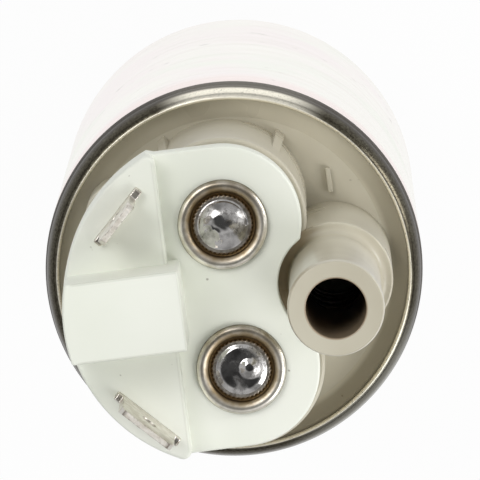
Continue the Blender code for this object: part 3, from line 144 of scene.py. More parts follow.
# %% Turned pieces and plates
def turned(profile, centre=(0.0, 0.0), steps=128, closed=True, ripple=None):
    """A profile of (radius, height) carried round an upright axis: x and y are the radius times the cosine
    and sine of the angle, and the height stays. ripple(angle, profile) is added to the radius."""
    profile = np.asarray(profile, float)
    angle = (np.arange(steps) * TURN / steps)[:, None]
    radius = profile[:, 0] + (ripple(angle, profile) if ripple else 0 * angle)
    height = np.broadcast_to(profile[:, 1], radius.shape)
    x, y = centre[0] + radius * np.cos(angle), centre[1] + radius * np.sin(angle)
    points = np.stack((x, y, height), axis=-1).reshape(-1, 3)
    return points, grid_faces(steps, len(profile), True, closed).tolist(), np.zeros(len(points))


def rounded_edge(radius, level, inward, steps):
    """A plate edge's levels from its flat face to its side, as (inset, height, wear): the inset is the
    radius times one minus the sine of a quarter turn, and the height times one minus the cosine."""
    if radius == 0:
        return [(0, level, 0)]
    levels = [(radius * 1.3, level, 0)]
    for quarter in np.linspace(0, math.pi / 2, steps + 1):
        height = level + inward * radius * (1 - math.cos(quarter))
        levels.append((radius * (1 - math.sin(quarter)), height, 1))
    return [*levels, (0, level + inward * radius * 1.2, 0)]


def plate(outline, low, high, top=0.25, foot=0.0, holes=(), steps=5, hole_share=0.4):
    """An outline carried up from low to high. At each level it is drawn in along its normals by the
    rounded edges' inset, and the holes widen by a share of that. Rounded edges get a wear value of 1."""
    levels = rounded_edge(foot, low, 1, steps) + rounded_edge(top, high, -1, steps)[::-1]
    inset, height, wear = np.array(levels, float).T
    points, faces, worn, rims = [], [], [], ([], [])
    count = 0
    for number, loop in enumerate((outline, *holes)):
        loop = np.asarray(loop, float)
        if (area_of(loop) < 0) == (number == 0):
            loop = loop[::-1]
        drawn_in = inset[:, None, None] * (hole_share if number else 1)
        flat = loop[None] - outward(loop)[None] * drawn_in
        rise = np.broadcast_to(height[:, None, None], (len(levels), len(loop), 1))
        points.append(np.concatenate((flat, rise), axis=2).reshape(-1, 3))
        worn.append(np.repeat(wear, len(loop)))
        faces.append(grid_faces(len(levels), len(loop), False, True) + count)
        rims[0].append(np.arange(len(loop)) + count)
        rims[1].append(np.arange(len(loop)) + count + (len(levels) - 1) * len(loop))
        count += len(levels) * len(loop)
    points = np.concatenate(points)
    faces = np.concatenate(faces).tolist()
    for rim in rims:
        faces += cap(points, rim)
    return points, faces, np.concatenate(worn)


def cap(points, rim):
    """The flat face inside a rim: one polygon, or triangles between the rim and its holes."""
    if len(rim) == 1:
        return [rim[0].tolist()]
    order = np.concatenate(rim)
    sides = np.concatenate([np.stack((loop, np.roll(loop, -1)), axis=1) for loop in rim])
    where = {int(index): number for number, index in enumerate(order)}
    flat = [Vector(point) for point in points[order, :2]]
    edges = [(where[int(one)], where[int(other)]) for one, other in sides]
    found = delaunay_2d_cdt(flat, edges, [], 1, 1e-7)
    index = np.array([order[origin[0]] for origin in found[3]])
    triangles = index[np.array(found[2])]
    middles = points[triangles, :2].mean(axis=1)
    kept = ~np.any([inside(middles, points[loop, :2]) for loop in rim[1:]], axis=0)
    return triangles[kept].tolist()


def gathered(*parts):
    """Several closed surfaces as one: their points one after another, with the faces' numbers moved on."""
    points, faces, wear, count = [], [], [], 0
    for part_points, part_faces, part_wear in parts:
        points.append(part_points)
        wear.append(part_wear)
        faces += [[corner + count for corner in face] for face in part_faces]
        count += len(part_points)
    return np.concatenate(points), faces, np.concatenate(wear)


def moved(points, turn, place):
    """Points turned about the upright axis and then moved. Their heights, if any, stay."""
    axes = np.array(((math.cos(turn), math.sin(turn)), (-math.sin(turn), math.cos(turn))))
    return np.concatenate((points[:, :2] @ axes + np.array(place), points[:, 2:]), axis=1)


def stood_up(part, turn, place):
    """A plate drawn flat, stood on its edge: its second axis points up and its thickness lies across."""
    points, faces, wear = part
    return moved(points[:, (0, 2, 1)], turn, place), faces, wear


def placed(name, data):
    """A new object in the scene."""
    made = bpy.data.objects.new(name, data)
    bpy.context.scene.collection.objects.link(made)
    return made


def publish(name, part, replaced, body="housing", sharp=35):
    """Makes the object: a mesh in metres, doubles merged, faces pointing outwards and edges over the sharp
    angle kept crisp. It rides on its body and stands for a CAD node."""
    points, faces, wear = part
    mesh = bpy.data.meshes.new(name)
    mesh.from_pydata((points * MM).tolist(), [], faces)
    mesh.attributes.new("wear", "FLOAT", "POINT").data.foreach_set("value", wear.astype(np.float32))
    shape = bmesh.new()
    shape.from_mesh(mesh)
    bmesh.ops.remove_doubles(shape, verts=shape.verts, dist=1e-7)
    bmesh.ops.recalc_face_normals(shape, faces=shape.faces)
    shape.to_mesh(mesh)
    shape.free()
    mesh.shade_smooth()
    mesh.set_sharp_from_angle(angle=math.radians(sharp))
    piece = placed(name, mesh)
    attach(piece, body)
    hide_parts(replaced)
    print(f"{name}: {sum(len(face.vertices) - 2 for face in mesh.polygons)} triangles for {replaced}")
    return piece


# %% [markdown]
# ## Shell
# The body is one tube of zinc-plated steel. After the covers are in, both its edges are rolled in over
# them, so each end is a quarter ellipse from the straight wall to the lip. A turned profile is the right
# surface for it. Rolling leaves the lip a little uneven, which is worked in as a low ripple of the radius.

# %% Shell
SHELL_RADIUS, SHELL_INNER, SHELL_LENGTH = 19.0, 18.0, 68.4
ROLL_HEIGHT, ROLL_REACH, LIP_THICKNESS = 3.4, 1.45, 0.9
LIP_RADIUS = SHELL_RADIUS - ROLL_REACH


def lip_ripple(angle, profile):
    """The lip's unevenness: three slow waves round the edge, growing from the wall to the lip."""
    near_lip = np.clip((SHELL_RADIUS - profile[:, 0]) / ROLL_REACH, 0, 1)
    waves = np.sin(3 * angle + 0.6) + 0.7 * np.sin(7 * angle + 2.1) + 0.4 * np.sin(17 * angle + 0.3)
    return 0.012 * waves * near_lip


# From the straight wall to the lip, the radius follows the cosine of a quarter turn and the height its sine.
quarter = np.linspace(0, math.pi / 2, 15)
height = SHELL_LENGTH - ROLL_HEIGHT * (1 - np.sin(quarter))
upper_edge = np.stack((LIP_RADIUS + ROLL_REACH * np.cos(quarter), height), axis=1)
lower_edge = upper_edge * (1, -1) + (0, SHELL_LENGTH)
LIP_ROUND = 0.22
lip_corners = [(LIP_RADIUS + LIP_ROUND, SHELL_LENGTH), (LIP_RADIUS, SHELL_LENGTH)]
lip_corners += [(radius, SHELL_LENGTH - LIP_THICKNESS) for radius in (LIP_RADIUS, SHELL_INNER)]
upper_lip = fillet(lip_corners, (0, LIP_ROUND * 0.9, 0.15, 0), 4, False)
lower_lip = upper_lip * (1, -1) + (0, SHELL_LENGTH)
shell_profile = np.concatenate((upper_edge[:-1], upper_lip, lower_lip[::-1], lower_edge[:-1][::-1]))
publish("shell_tube", turned(shell_profile, steps=256, ripple=lip_ripple), "shell")

# %% [markdown]
# ## Outlet cover
# The cover is one moulding in beige plastic: a skirt and a sloped band under the rolled edge, a flat floor,
# a two-lobed boss that carries the terminal board, and the outlet column with its hose nipple. Booleans
# would fuse these, but they leave poor faces under the reflections. Closed surfaces that run into each
# other look the same and stay clean, so the moulding is gathered from turned parts and plates.

# %% Outlet cover: skirt, floor and boss
COVER_RADIUS, BAND_INNER, SHOULDER, FLOOR, CEILING = 17.8, 15.55, 67.2, 66.2, 62.5
SKIRT_LOW, SKIRT_WALL, SEAL_LEVEL, SEAL_HALF, SEAL_DEPTH = 52.0, 2.0, 58.0, 0.8, 1.35
POST_OFFSET, BOSS_LOBE, BOSS_BACK, BOSS_TOP = 7.2, 8.2, 9.8, 82.2
BOARD_LOW, BOARD_TOP, STEP_TOP, KEY_TOP = 82.5, 85.0, 87.5, 93.7
COLUMN_PLACE, COLUMN_RADIUS, COLLAR_TOP, NIPPLE_TIP = (10.15, 0.0), 5.72, 82.23, 102.0
RELIEF_PLACE, RELIEF_HOLE, COLUMN_HOLE, POST_HOLE, EYELET_HOLE = (-10.398, 7.499), 2.6, 5.0, 1.2, 3.75
CHOKE_PLACE, CHOKE_ROOM, CHOKE_CEILING = 5.36, 2.46, 73.1
BRUSH_ROOM, BRUSH_TUBE, TUBE_LOW = 4.8, 7.4, 53.5
POSTS = {"a": (0.0, POST_OFFSET), "b": (0.0, -POST_OFFSET)}
CHOKES = {letter: (CHOKE_PLACE, place[1]) for letter, place in POSTS.items()}


def square(centre, side):
    """A square outline about a centre."""
    half = side / 2
    return np.array([(-half, -half), (half, -half), (half, half), (-half, half)]) + np.array(centre)


def boss_outline():
    """The boss seen from above: a lobe round each post, which meet in a valley behind the column, and a
    straight back."""
    valley = math.asin(POST_OFFSET / BOSS_LOBE)
    lobe = circle((0, POST_OFFSET), BOSS_LOBE, -valley, math.pi, 90)
    mirrored = (lobe * (1, -1))[::-1]
    back = [(-BOSS_BACK, POST_OFFSET), (-BOSS_BACK, -POST_OFFSET)]
    return np.concatenate((lobe[1:], back, mirrored[:-1], lobe[:1]))


groove = [
    (COVER_RADIUS, SEAL_LEVEL + SEAL_HALF), (COVER_RADIUS - SEAL_DEPTH, SEAL_LEVEL + SEAL_HALF),
    (COVER_RADIUS - SEAL_DEPTH, SEAL_LEVEL - SEAL_HALF), (COVER_RADIUS, SEAL_LEVEL - SEAL_HALF),
]
skirt = [
    (COVER_RADIUS, SKIRT_LOW), (COVER_RADIUS - SKIRT_WALL, SKIRT_LOW),
    (COVER_RADIUS - SKIRT_WALL, CEILING), (BAND_INNER, CEILING),
]
band = [(BAND_INNER, FLOOR), (COVER_RADIUS, SHOULDER), *groove, *skirt]
band = fillet(band, (0, 0.3, 0.1, 0.1, 0.1, 0.1, 0.3, 0.3, 0, 0), 4)
choke_holes = [circle(place, CHOKE_ROOM, steps=48) for place in CHOKES.values()]
floor_holes = [circle(COLUMN_PLACE, COLUMN_HOLE), circle(RELIEF_PLACE, RELIEF_HOLE)]
floor_holes += [square(place, BRUSH_ROOM) for place in POSTS.values()] + choke_holes
boss_holes = choke_holes + [circle(place, POST_HOLE, steps=32) for place in POSTS.values()]
eyelet_holes = [circle(place, EYELET_HOLE) for place in POSTS.values()]
cover_parts = [
    turned(band, steps=256),
    plate(circle((0, 0), BAND_INNER, steps=256), CEILING, FLOOR, 0, 0, floor_holes),
    plate(boss_outline(), FLOOR - 0.3, CHOKE_CEILING, 0, 0, boss_holes),
    plate(boss_outline(), CHOKE_CEILING, BOSS_TOP, 0.35, 0, eyelet_holes),
]
print("boss outline has", len(boss_outline()), "points")

# %% [markdown]
# The column is turned about its own axis. Its collar ends level with the board in a rounded shoulder, and
# the nipple above it has a low bead at the tip that bites into the hose. The bore is stepped: narrow in
# the nipple, wide below, where the check valve sits. The tip's edges are broken, as a moulded edge is.

# %% Outlet cover: column, webs and inner tubes
NIPPLE_RADIUS, NIPPLE_BEAD, BORE_RADIUS, VALVE_ROOM, VALVE_TOP = 4.5, 0.16, 2.9, 4.25, 81.2
ROOT_RADIUS, COLUMN_LOW = 5.5, 60.0
column = [
    (BORE_RADIUS, NIPPLE_TIP), (NIPPLE_RADIUS + 0.04, NIPPLE_TIP),
    (NIPPLE_RADIUS + NIPPLE_BEAD, NIPPLE_TIP - 0.5), (NIPPLE_RADIUS + NIPPLE_BEAD, NIPPLE_TIP - 1.6),
    (NIPPLE_RADIUS, NIPPLE_TIP - 2.1), (NIPPLE_RADIUS, COLLAR_TOP), (COLUMN_RADIUS, COLLAR_TOP),
    (COLUMN_RADIUS, FLOOR), (COLUMN_RADIUS, FLOOR - 0.5), (ROOT_RADIUS, FLOOR - 0.5),
    (ROOT_RADIUS, COLUMN_LOW), (VALVE_ROOM, COLUMN_LOW), (VALVE_ROOM, VALVE_TOP), (BORE_RADIUS, VALVE_TOP),
]
column = fillet(column, (0.12, 0.1, 0.3, 0.4, 0.4, 0.75, 0.2, 0, 0, 0, 0.1, 0.1, 0.1, 0.1), 6)
relief_tube = [(2.3, 58.5), (2.3, 72.0), (3.5, 72.0), (3.5, 56.0), (1.2, 56.0), (1.2, 58.5)]
bearing = [(0, 59.4), (2.2, 59.4), (2.2, 57.9), (3.7, 57.9), (3.7, 53.3), (5.0, 53.3), (5.0, 62.8), (0, 62.8)]


def gusset(turn):
    """A thin web that leans on a lobe: a triangle standing on the floor, a millimetre thick, turned about
    the lobe's axis."""
    root, foot = BOSS_LOBE - 0.3, BOSS_LOBE + 0.7
    side = [(root, FLOOR - 0.2), (foot, FLOOR - 0.2), (foot, FLOOR + 0.5), (root, BOSS_TOP - 2.0)]
    web = plate(fillet(side, (0, 0, 0.3, 0), 4), -0.5, 0.5, 0.12, 0.12)
    return stood_up(web, turn, POSTS["a"])


rib_outline = fillet(square((0, 0), 1.0) * (0.5, 2.5) + (10.64, 7.96), 0.15, 4)
support_outline = fillet([(-15.2, -0.8), (-9.5, -0.8), (-9.5, 0.8), (-15.2, 0.8)], 0.2, 4)
cover_parts += [
    turned(column, COLUMN_PLACE, 144),
    turned(fillet(relief_tube, (0, 0.1, 0.2, 0.1, 0, 0), 3), RELIEF_PLACE, 72),
    turned(bearing, steps=72, closed=False),
    gusset(math.radians(43.5)),
    gusset(math.radians(129.5)),
    plate(rib_outline, FLOOR - 0.2, FLOOR + 0.7, 0.1),
    plate(support_outline, FLOOR - 0.2, BOSS_TOP - 0.5, 0.2),
]
for place in POSTS.values():
    walls = fillet(square(place, BRUSH_TUBE), 0.3, 3)
    cover_parts.append(plate(walls, TUBE_LOW, CEILING + 0.3, 0, 0.15, [square(place, BRUSH_ROOM)]))
publish("cover_moulding", gathered(*cover_parts), "outlet_cover")

# %% [markdown]
# ## Terminal board
# The board is white plastic: a plate with two lobes round the eyelets and a notch for the column, a raised
# segment that follows the shell, and a tall key that guides the plug. Each is a plate with its own edge
# rounding. The blades pass through slots in the segment, so those are real holes in it.

# %% Terminal board
BOARD_LOBE, BOARD_EDGE, STEP_PLACE, NOTCH = 7.7, 16.5, -5.8, 5.57
KEY_FRONT, KEY_LOW, KEY_HIGH = -4.65, -3.55, 4.35
BLADES = {
    "blade_narrow": {"place": (-9.949, 9.6), "turn": TURN / 8, "width": 4.8, "base": 6.7, "post": "a"},
    "blade_wide": {"place": (-9.649, -10.501), "turn": -TURN / 8, "width": 6.3, "base": 7.7, "post": "b"},
}
BLADE_THICKNESS, BLADE_TOP, BLADE_SHOULDER = 0.8, 94.5, 88.5
HORN_ROOM, HORN_ROUND = 1.0, 0.4


def board_outline():
    """The board seen from above: the outer arc, a straight run, a lobe round the post, and half of the
    notch. Where the lobe's circle meets the notch's, the horn between them is rounded off. The other half
    is the mirror image."""
    column_x = COLUMN_PLACE[0]
    reach = math.hypot(column_x, POST_OFFSET)
    along = (BOARD_LOBE**2 - NOTCH**2 + reach**2) / (2 * reach)
    aside = math.sqrt(BOARD_LOBE**2 - along**2)
    toward = np.array((column_x, -POST_OFFSET)) / reach
    corner = np.array((0, POST_OFFSET)) + along * toward + aside * np.array((-toward[1], toward[0]))
    edge_start = math.acos((STEP_PLACE - 0.8) / BOARD_EDGE)
    lobe_end = math.atan2(corner[1] - POST_OFFSET, corner[0])
    notch_start = math.atan2(corner[1], corner[0] - column_x)
    lobe = circle((0, POST_OFFSET), BOARD_LOBE, math.pi / 2, lobe_end, 60)
    notch = circle(COLUMN_PLACE, NOTCH, notch_start, math.pi, 40)
    lobe, notch = (arc[np.linalg.norm(arc - corner, axis=1) > HORN_ROOM] for arc in (lobe, notch))
    horn = fillet([lobe[-1], corner, notch[0]], (0, HORN_ROUND, 0), 4, False)[1:-1]
    edge = circle((0, 0), BOARD_EDGE, math.pi, edge_start, 60)
    half = np.concatenate((edge, [(STEP_PLACE, POST_OFFSET + BOARD_LOBE)], lobe, horn, notch))
    return np.concatenate((half, (half * (1, -1))[::-1][1:-1]))


def segment_outline():
    """The raised segment: the outer arc, cut off straight at the step."""
    angle = math.acos(STEP_PLACE / (BOARD_EDGE - 0.02))
    arc = circle((0, 0), BOARD_EDGE - 0.02, angle, TURN - angle, 120)
    rounded = fillet([arc[3], arc[0], arc[-1], arc[-4]], (0, 0.8, 0.8, 0), 5, False)[1:-1]
    return np.concatenate((arc[5:-5], rounded[::-1]))


def slot_outline(blade):
    """The slot round a blade's foot, which fits it closely: the plastic was moulded round the blade."""
    corners = square((0, 0), 1.0) * (blade["base"] - 0.02, BLADE_THICKNESS - 0.02)
    return fillet(moved(corners, blade["turn"], blade["place"]), 0.15, 3)


def key_outline():
    """The key block: straight front and sides, and an outer side that follows the board's edge."""
    radius = BOARD_EDGE - 0.15
    start, stop = (math.pi - math.asin(side / radius) for side in (KEY_HIGH, KEY_LOW))
    arc = circle((0, 0), radius, start, stop, 24)
    corners = [arc[-2], arc[-1], (KEY_FRONT, KEY_LOW), (KEY_FRONT, KEY_HIGH), arc[0], arc[1]]
    return np.concatenate((arc[2:-2], fillet(corners, 0.3, 5, False)[1:-1]))


slots = [slot_outline(blade) for blade in BLADES.values()]
board_parts = [
    plate(board_outline(), BOARD_LOW, BOARD_TOP, 0.22, 0.15, eyelet_holes + slots),
    plate(segment_outline(), BOARD_TOP - 0.4, STEP_TOP, 0.3, 0, slots, hole_share=0.1),
    plate(key_outline(), BOARD_TOP - 0.4, KEY_TOP, 0.22),
]
publish("terminal_block", gathered(*board_parts), "terminal_board")

# %% [markdown]
# ## Terminals
# Each post is a knurled pin inside a rolled eyelet, with solder on top. The knurl is a circle whose radius
# drops and rises forty times round, the eyelet is turned, and the solder is a cap that cooled unevenly.
# One cap is full and dented, and the other is flat with a blob on it. Their numbers are fixed, so each
# run gives the same domes.

# %% Eyelets and posts
POST_TOP, POST_LOW, POST_RADIUS, PIN_RADIUS, PIN_LOW, KNURL_TEETH = 85.3, 73.9, 2.98, 1.0, 70.4, 40
EYELET_FLANGE, EYELET_CREST, EYELET_BARREL, EYELET_WALL = 4.43, 3.9, 3.55, 0.4
EYELET_RISE, EYELET_BEAD, EYELET_LOW = 0.75, 0.53, 80.0


def eyelet_profile():
    """The eyelet's section: a barrel, and a flange rolled over it to a round crest."""
    inner = EYELET_BARREL - EYELET_WALL
    crest = BOARD_TOP + EYELET_RISE
    outer_bead = circle((EYELET_CREST, crest - EYELET_BEAD), EYELET_BEAD, math.pi / 2, 0, 9)
    turn = np.linspace(math.pi, math.pi / 2, 10)[:-1]
    radius = EYELET_CREST + (EYELET_CREST - inner) * np.cos(turn)
    inner_bead = np.stack((radius, crest - EYELET_RISE * (1 - np.sin(turn))), axis=1)
    foot = [(EYELET_FLANGE, BOARD_TOP + 0.05), (EYELET_BARREL, BOARD_TOP + 0.05)]
    barrel = [(EYELET_BARREL, EYELET_LOW), (inner, EYELET_LOW), (inner, 84.5)]
    flux = [(POST_RADIUS - 0.14, 84.6), (POST_RADIUS - 0.14, 84.95), (POST_RADIUS + 0.1, 84.97)]
    return np.concatenate((inner_bead, outer_bead, foot, barrel, flux))


def knurl(angle, profile, depth=0.16):
    """How far the radius drops between the teeth: a rounded wave of the angle, where the pin is full."""
    full = np.clip((profile[:, 0] - POST_RADIUS + 0.5) / 0.3, 0, 1)
    return -depth * (0.5 - 0.5 * np.cos(KNURL_TEETH * angle)) ** 0.7 * full


post_profile = [(0, POST_TOP), (POST_RADIUS, POST_TOP), (POST_RADIUS, POST_LOW)]
post_profile += [(PIN_RADIUS, POST_LOW), (PIN_RADIUS, PIN_LOW), (0, PIN_LOW)]
post_profile = fillet(post_profile, (0, 0.12, 0.2, 0.1, 0.2, 0), 3, False)
for letter, place in POSTS.items():
    eyelet = turned(eyelet_profile(), place, 128)
    publish(f"rolled_eyelet_{letter}", eyelet, f"eyelet_{letter}")
    post = turned(post_profile, place, KNURL_TEETH * 8, False, knurl)
    publish(f"knurled_post_{letter}", post, f"post_{letter}")

# %% Solder domes
DENTS = {
    "a": [(-1.2, -1.0, 0.6, 0.14), (-1.5, -0.2, 0.35, 0.09), (-0.6, -1.6, 0.35, 0.09)],
    "b": [(0.8, 0.1, 0.8, -0.35), (-0.9, 0.5, 0.4, 0.02)],
}
CAPS = {"a": (0.88, 2.3, 0.3), "b": (0.2, 8.0, 0.05)}
SOLDER_RADIUS, SOLDER_LOW, SOLDER_HEIGHT = 2.5, 85.3, 1.28


def solder_dome(centre, dents, tall, fullness, lean, rings=48, steps=96):
    """A cap whose height is one minus its radius to a power, leaning to +Y, on a thin sloping foot. Each
    (x, y, radius, depth) is a round dent with a raised brim, or a blob where the depth is below 0."""
    share = np.linspace(0, 1, rings + 1)[:, None]
    angle = (np.arange(steps) * TURN / steps)[None]
    x, y = SOLDER_RADIUS * share * np.cos(angle), SOLDER_RADIUS * share * np.sin(angle)
    body = 1 - np.clip(share / 0.95, 0, 1) ** fullness + 0 * angle
    height = tall * body * (1 + lean * y / SOLDER_RADIUS) + np.clip(1 - share, 0, 0.05)
    for dent_x, dent_y, radius, depth in dents:
        away = ((x - dent_x) ** 2 + (y - dent_y) ** 2) / radius**2
        brim = 0.35 * max(depth, 0) * np.exp(-((np.sqrt(away) - 1.25) ** 2) * 14)
        height = height + body * (brim - depth * np.exp(-(away**1.5)))
    wrinkle = np.sin(5.1 * x + 2 * np.sin(3.1 * y)) * np.sin(4.3 * y + 1.7 * np.sin(2.7 * x))
    height = np.clip(height + 0.007 * wrinkle * (1 - share), 0, SOLDER_HEIGHT)
    dome = np.stack((x + centre[0], y + centre[1], SOLDER_LOW + height), axis=-1)
    foot = np.stack((x[::-1] + centre[0], y[::-1] + centre[1], SOLDER_LOW - 0.1 + 0 * height), axis=-1)
    points = np.concatenate((dome, foot)).reshape(-1, 3)
    faces = grid_faces(2 * (rings + 1), steps, False, True).tolist()
    return points, faces, np.zeros(len(points))


for letter, place in POSTS.items():
    dome = solder_dome(place, DENTS[letter], *CAPS[letter])
    publish(f"solder_dome_{letter}", dome, f"solder_{letter}", sharp=60)

# %% [markdown]
# ## Spade blades
# Two blades stamped from nickel-plated strip, one 4.8 and one 6.3 mm wide, so that the plug fits one way
# only. Each stands on its shoulders in the board and runs under it to an eyelet. The blade is a plate
# drawn from the front with its detent hole, then stood up and turned.


# %% Blades
DETENT_RADIUS, STRIP_HALF, RING_RADIUS = 0.9, 1.5, 4.2


def blade_part(blade):
    """A blade with its strip: the stamped outline stood up and thinned toward its top, and a flat keyhole
    outline under the board."""
    half_base, half, low = blade["base"] / 2, blade["width"] / 2, BOARD_LOW + 0.4
    corners = [(half_base, low), (half_base, BLADE_SHOULDER), (half, BLADE_SHOULDER)]
    corners += [(half, BLADE_TOP - 0.9), (half - 0.45, BLADE_TOP)]
    corners += [(-x, z) for x, z in reversed(corners)]
    outline = fillet(corners, (0, 0.2, 0.15, 0.3, 0.2, 0.2, 0.3, 0.15, 0.2, 0), 4)
    detent = circle((0, (BLADE_TOP + BLADE_SHOULDER) / 2), DETENT_RADIUS, steps=48)
    upright = plate(outline, -BLADE_THICKNESS / 2, BLADE_THICKNESS / 2, 0.12, 0.12, [detent], 4)
    lead = np.clip((upright[0][:, 1] - BLADE_TOP + 0.8) / 0.8, 0, 1)
    upright[0][:, 2] *= 1 - 0.35 * lead
    reach = np.array(POSTS[blade["post"]]) - blade["place"]
    span = float(np.linalg.norm(reach))
    neck = math.asin(STRIP_HALF / RING_RADIUS)
    ring = circle((span, 0), RING_RADIUS, neck - math.pi, math.pi - neck, 60)
    keyhole = np.concatenate(([(0, STRIP_HALF), (0, -STRIP_HALF)], ring))
    hole = circle((span, 0), EYELET_BARREL + 0.15, steps=64)
    points, faces, wear = plate(keyhole, BOARD_LOW, BOARD_LOW + BLADE_THICKNESS, 0.1, 0.1, [hole], 3)
    strip = moved(points, math.atan2(reach[1], reach[0]), blade["place"])
    return gathered(stood_up(upright, blade["turn"], blade["place"]), (strip, faces, wear))


for name, blade in BLADES.items():
    publish(f"stamped_{name}", blade_part(blade), name)

# %% [markdown]
# ## Inlet end
# The inlet cover is a die-cast aluminium disc under the lower rolled edge, with the suction neck on one
# side. The neck carries a bead that holds the strainer. It is hidden in the photograph and finished as
# such pumps are.

# %% Inlet cover
INLET_LOW, INLET_TOP, NECK_PLACE, NECK_RADIUS, NECK_LOW = 1.2, 8.0, (-10.2, 0.0), 6.2, -7.8
NECK_BORE, NECK_BEAD, SHAFT_HOLE = 4.0, 0.4, 2.6
THROAT, PORT_PLACE, PORT_RADIUS, PLATE_RADIUS = 5.5, (-12.75, 0.0), 1.7, 16.2
rim = [(COVER_RADIUS, INLET_LOW), (COVER_RADIUS, INLET_TOP), (PLATE_RADIUS, INLET_TOP)]
rim += [(PLATE_RADIUS, INLET_LOW)]
neck = [
    (NECK_BORE, NECK_LOW), (NECK_RADIUS, NECK_LOW), (NECK_RADIUS + NECK_BEAD, NECK_LOW + 0.8),
    (NECK_RADIUS + NECK_BEAD, NECK_LOW + 1.6), (NECK_RADIUS, NECK_LOW + 2.0), (NECK_RADIUS, INLET_LOW),
    (NECK_RADIUS, INLET_LOW + 1.0), (NECK_BORE, INLET_LOW + 1.0),
]
neck = fillet(neck, (0.25, 0.2, 0.2, 0.2, 0.2, 0, 0, 0), 4)
disc = circle((0, 0), PLATE_RADIUS, steps=256)
inner_holes = [circle(PORT_PLACE, PORT_RADIUS, steps=32), circle((0, 0), SHAFT_HOLE, steps=48)]
inlet_parts = [
    turned(fillet(rim, (0.4, 0.2, 0, 0), 4), steps=256),
    plate(disc, INLET_LOW, THROAT, 0, 0, [circle(NECK_PLACE, NECK_BORE)]),
    plate(disc, THROAT, INLET_TOP, 0, 0, inner_holes),
    turned(neck, NECK_PLACE, 128),
]
publish("inlet_casting", gathered(*inlet_parts), "inlet_cover")


# %% [markdown]
# ## Springs
# Each valve and brush has a coil spring that shortens as its part moves, so a stiff copy would pass through
# its neighbours. Here each is wound as a helix of one length, with a mesh of its own.


# %% Springs and chokes
def helix(centre, radius, wire, turns, low, high, per_turn=28, round_steps=10):
    """A tube along a rising circle: the path's point plus the wire's radius times (cosine, sine) in the
    plane across it. The rise is eased at both ends, so the end turns lie nearly flat."""
    share = np.linspace(0, 1, int(turns * per_turn) + 1)[:, None]
    around = (np.arange(round_steps) * TURN / round_steps)[None]
    angle = TURN * turns * share
    eased = share - 0.45 * np.sin(TURN * share) / TURN
    middle = low + wire + (high - low - 2 * wire) * eased
    out = radius + wire * np.cos(around)
    x, y = centre[0] + out * np.cos(angle), centre[1] + out * np.sin(angle)
    points = np.stack((x, y, middle + wire * np.sin(around)), axis=-1).reshape(-1, 3)
    faces = grid_faces(len(share), round_steps, False, True).tolist()
    last = (len(share) - 1) * round_steps
    faces += [list(range(round_steps)), list(range(last, last + round_steps))]
    return points, faces, np.zeros(len(points))


# Each spring: its place, radius, wire's radius, turns, lowest and highest level, joint and travel.
SPRINGS = {
    "brush_spring_a": (POSTS["a"], 1.7, 0.2, 4, 58.2, 64.8, "brush_a_slide", 0.8),
    "brush_spring_b": (POSTS["b"], 1.7, 0.2, 4, 58.2, 64.8, "brush_b_slide", 0.8),
    "check_spring": (COLUMN_PLACE, 3.4, 0.28, 5, 67.0, 81.0, "check_valve_slide", 2.0),
    "relief_spring": (RELIEF_PLACE, 1.6, 0.22, 4, None, 69.7, "relief_valve_slide", 1.0),
}
for name, (centre, radius, wire, turns, low, high, joint, travel) in SPRINGS.items():
    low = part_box(name)[0].z / MM if low is None else low
    coil = helix(centre, radius, wire, turns, low, high)
    spring = publish(f"wound_{name}", coil, name, sharp=60)
    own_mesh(spring)
COIL_RADIUS, COIL_WIRE, COIL_TURNS = 1.78, 0.38, 12
for letter, place in CHOKES.items():
    low, high = (corner.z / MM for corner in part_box(f"choke_coil_{letter}"))
    wound = helix(place, COIL_RADIUS, COIL_WIRE, COIL_TURNS, low, high, 24)
    publish(f"wound_choke_{letter}", wound, f"choke_coil_{letter}", sharp=60)


# %% [markdown]
# ## Shader maths
# A material's nodes could be placed and linked one by one, but they are arithmetic, so they are written as
# arithmetic. Wire wraps a socket, and each operator on it adds the Math node of that name. Finish holds
# one material, and its node method adds any other node. Coordinates come out in millimetres, as the
# lengths above are, and colours go in as they look on screen.


# %% Wire and Finish
def tone(red, green, blue):
    """A colour as it looks on screen, 0 to 255, as the linear value that a shader takes: the inverse of
    the screen's curve, which is a straight line near black and a power of 2.4 above it."""
    shares = np.array((red, green, blue)) / 255
    linear = np.where(shares <= 0.04045, shares / 12.92, ((shares + 0.055) / 1.055) ** 2.4)
    return (*linear.tolist(), 1.0)


class Wire:
    """A socket in a sum: operators on it add Math nodes, and the result is a Wire again."""

    def __init__(self, finish, socket):
        self.finish, self.socket = finish, socket

    def maths(self, operation, first, second=0.0):
        return self.finish.node("ShaderNodeMath", {"operation": operation}, {0: first, 1: second})

    def size(self):
        return self.maths("ABSOLUTE", self)

    def smooth(self, low, high):
        """0 below low, 1 above high, and a smooth step between. low may be above high."""
        inputs = {"Value": self, "From Min": low, "From Max": high}
        return self.finish.node("ShaderNodeMapRange", {"interpolation_type": "SMOOTHSTEP"}, inputs)


OPERATORS = {"add": "ADD", "sub": "SUBTRACT", "mul": "MULTIPLY", "truediv": "DIVIDE", "pow": "POWER"}
for sign, operation in OPERATORS.items():
    setattr(Wire, f"__{sign}__", lambda wire, other, name=operation: wire.maths(name, wire, other))
    setattr(Wire, f"__r{sign}__", lambda wire, other, name=operation: wire.maths(name, other, wire))


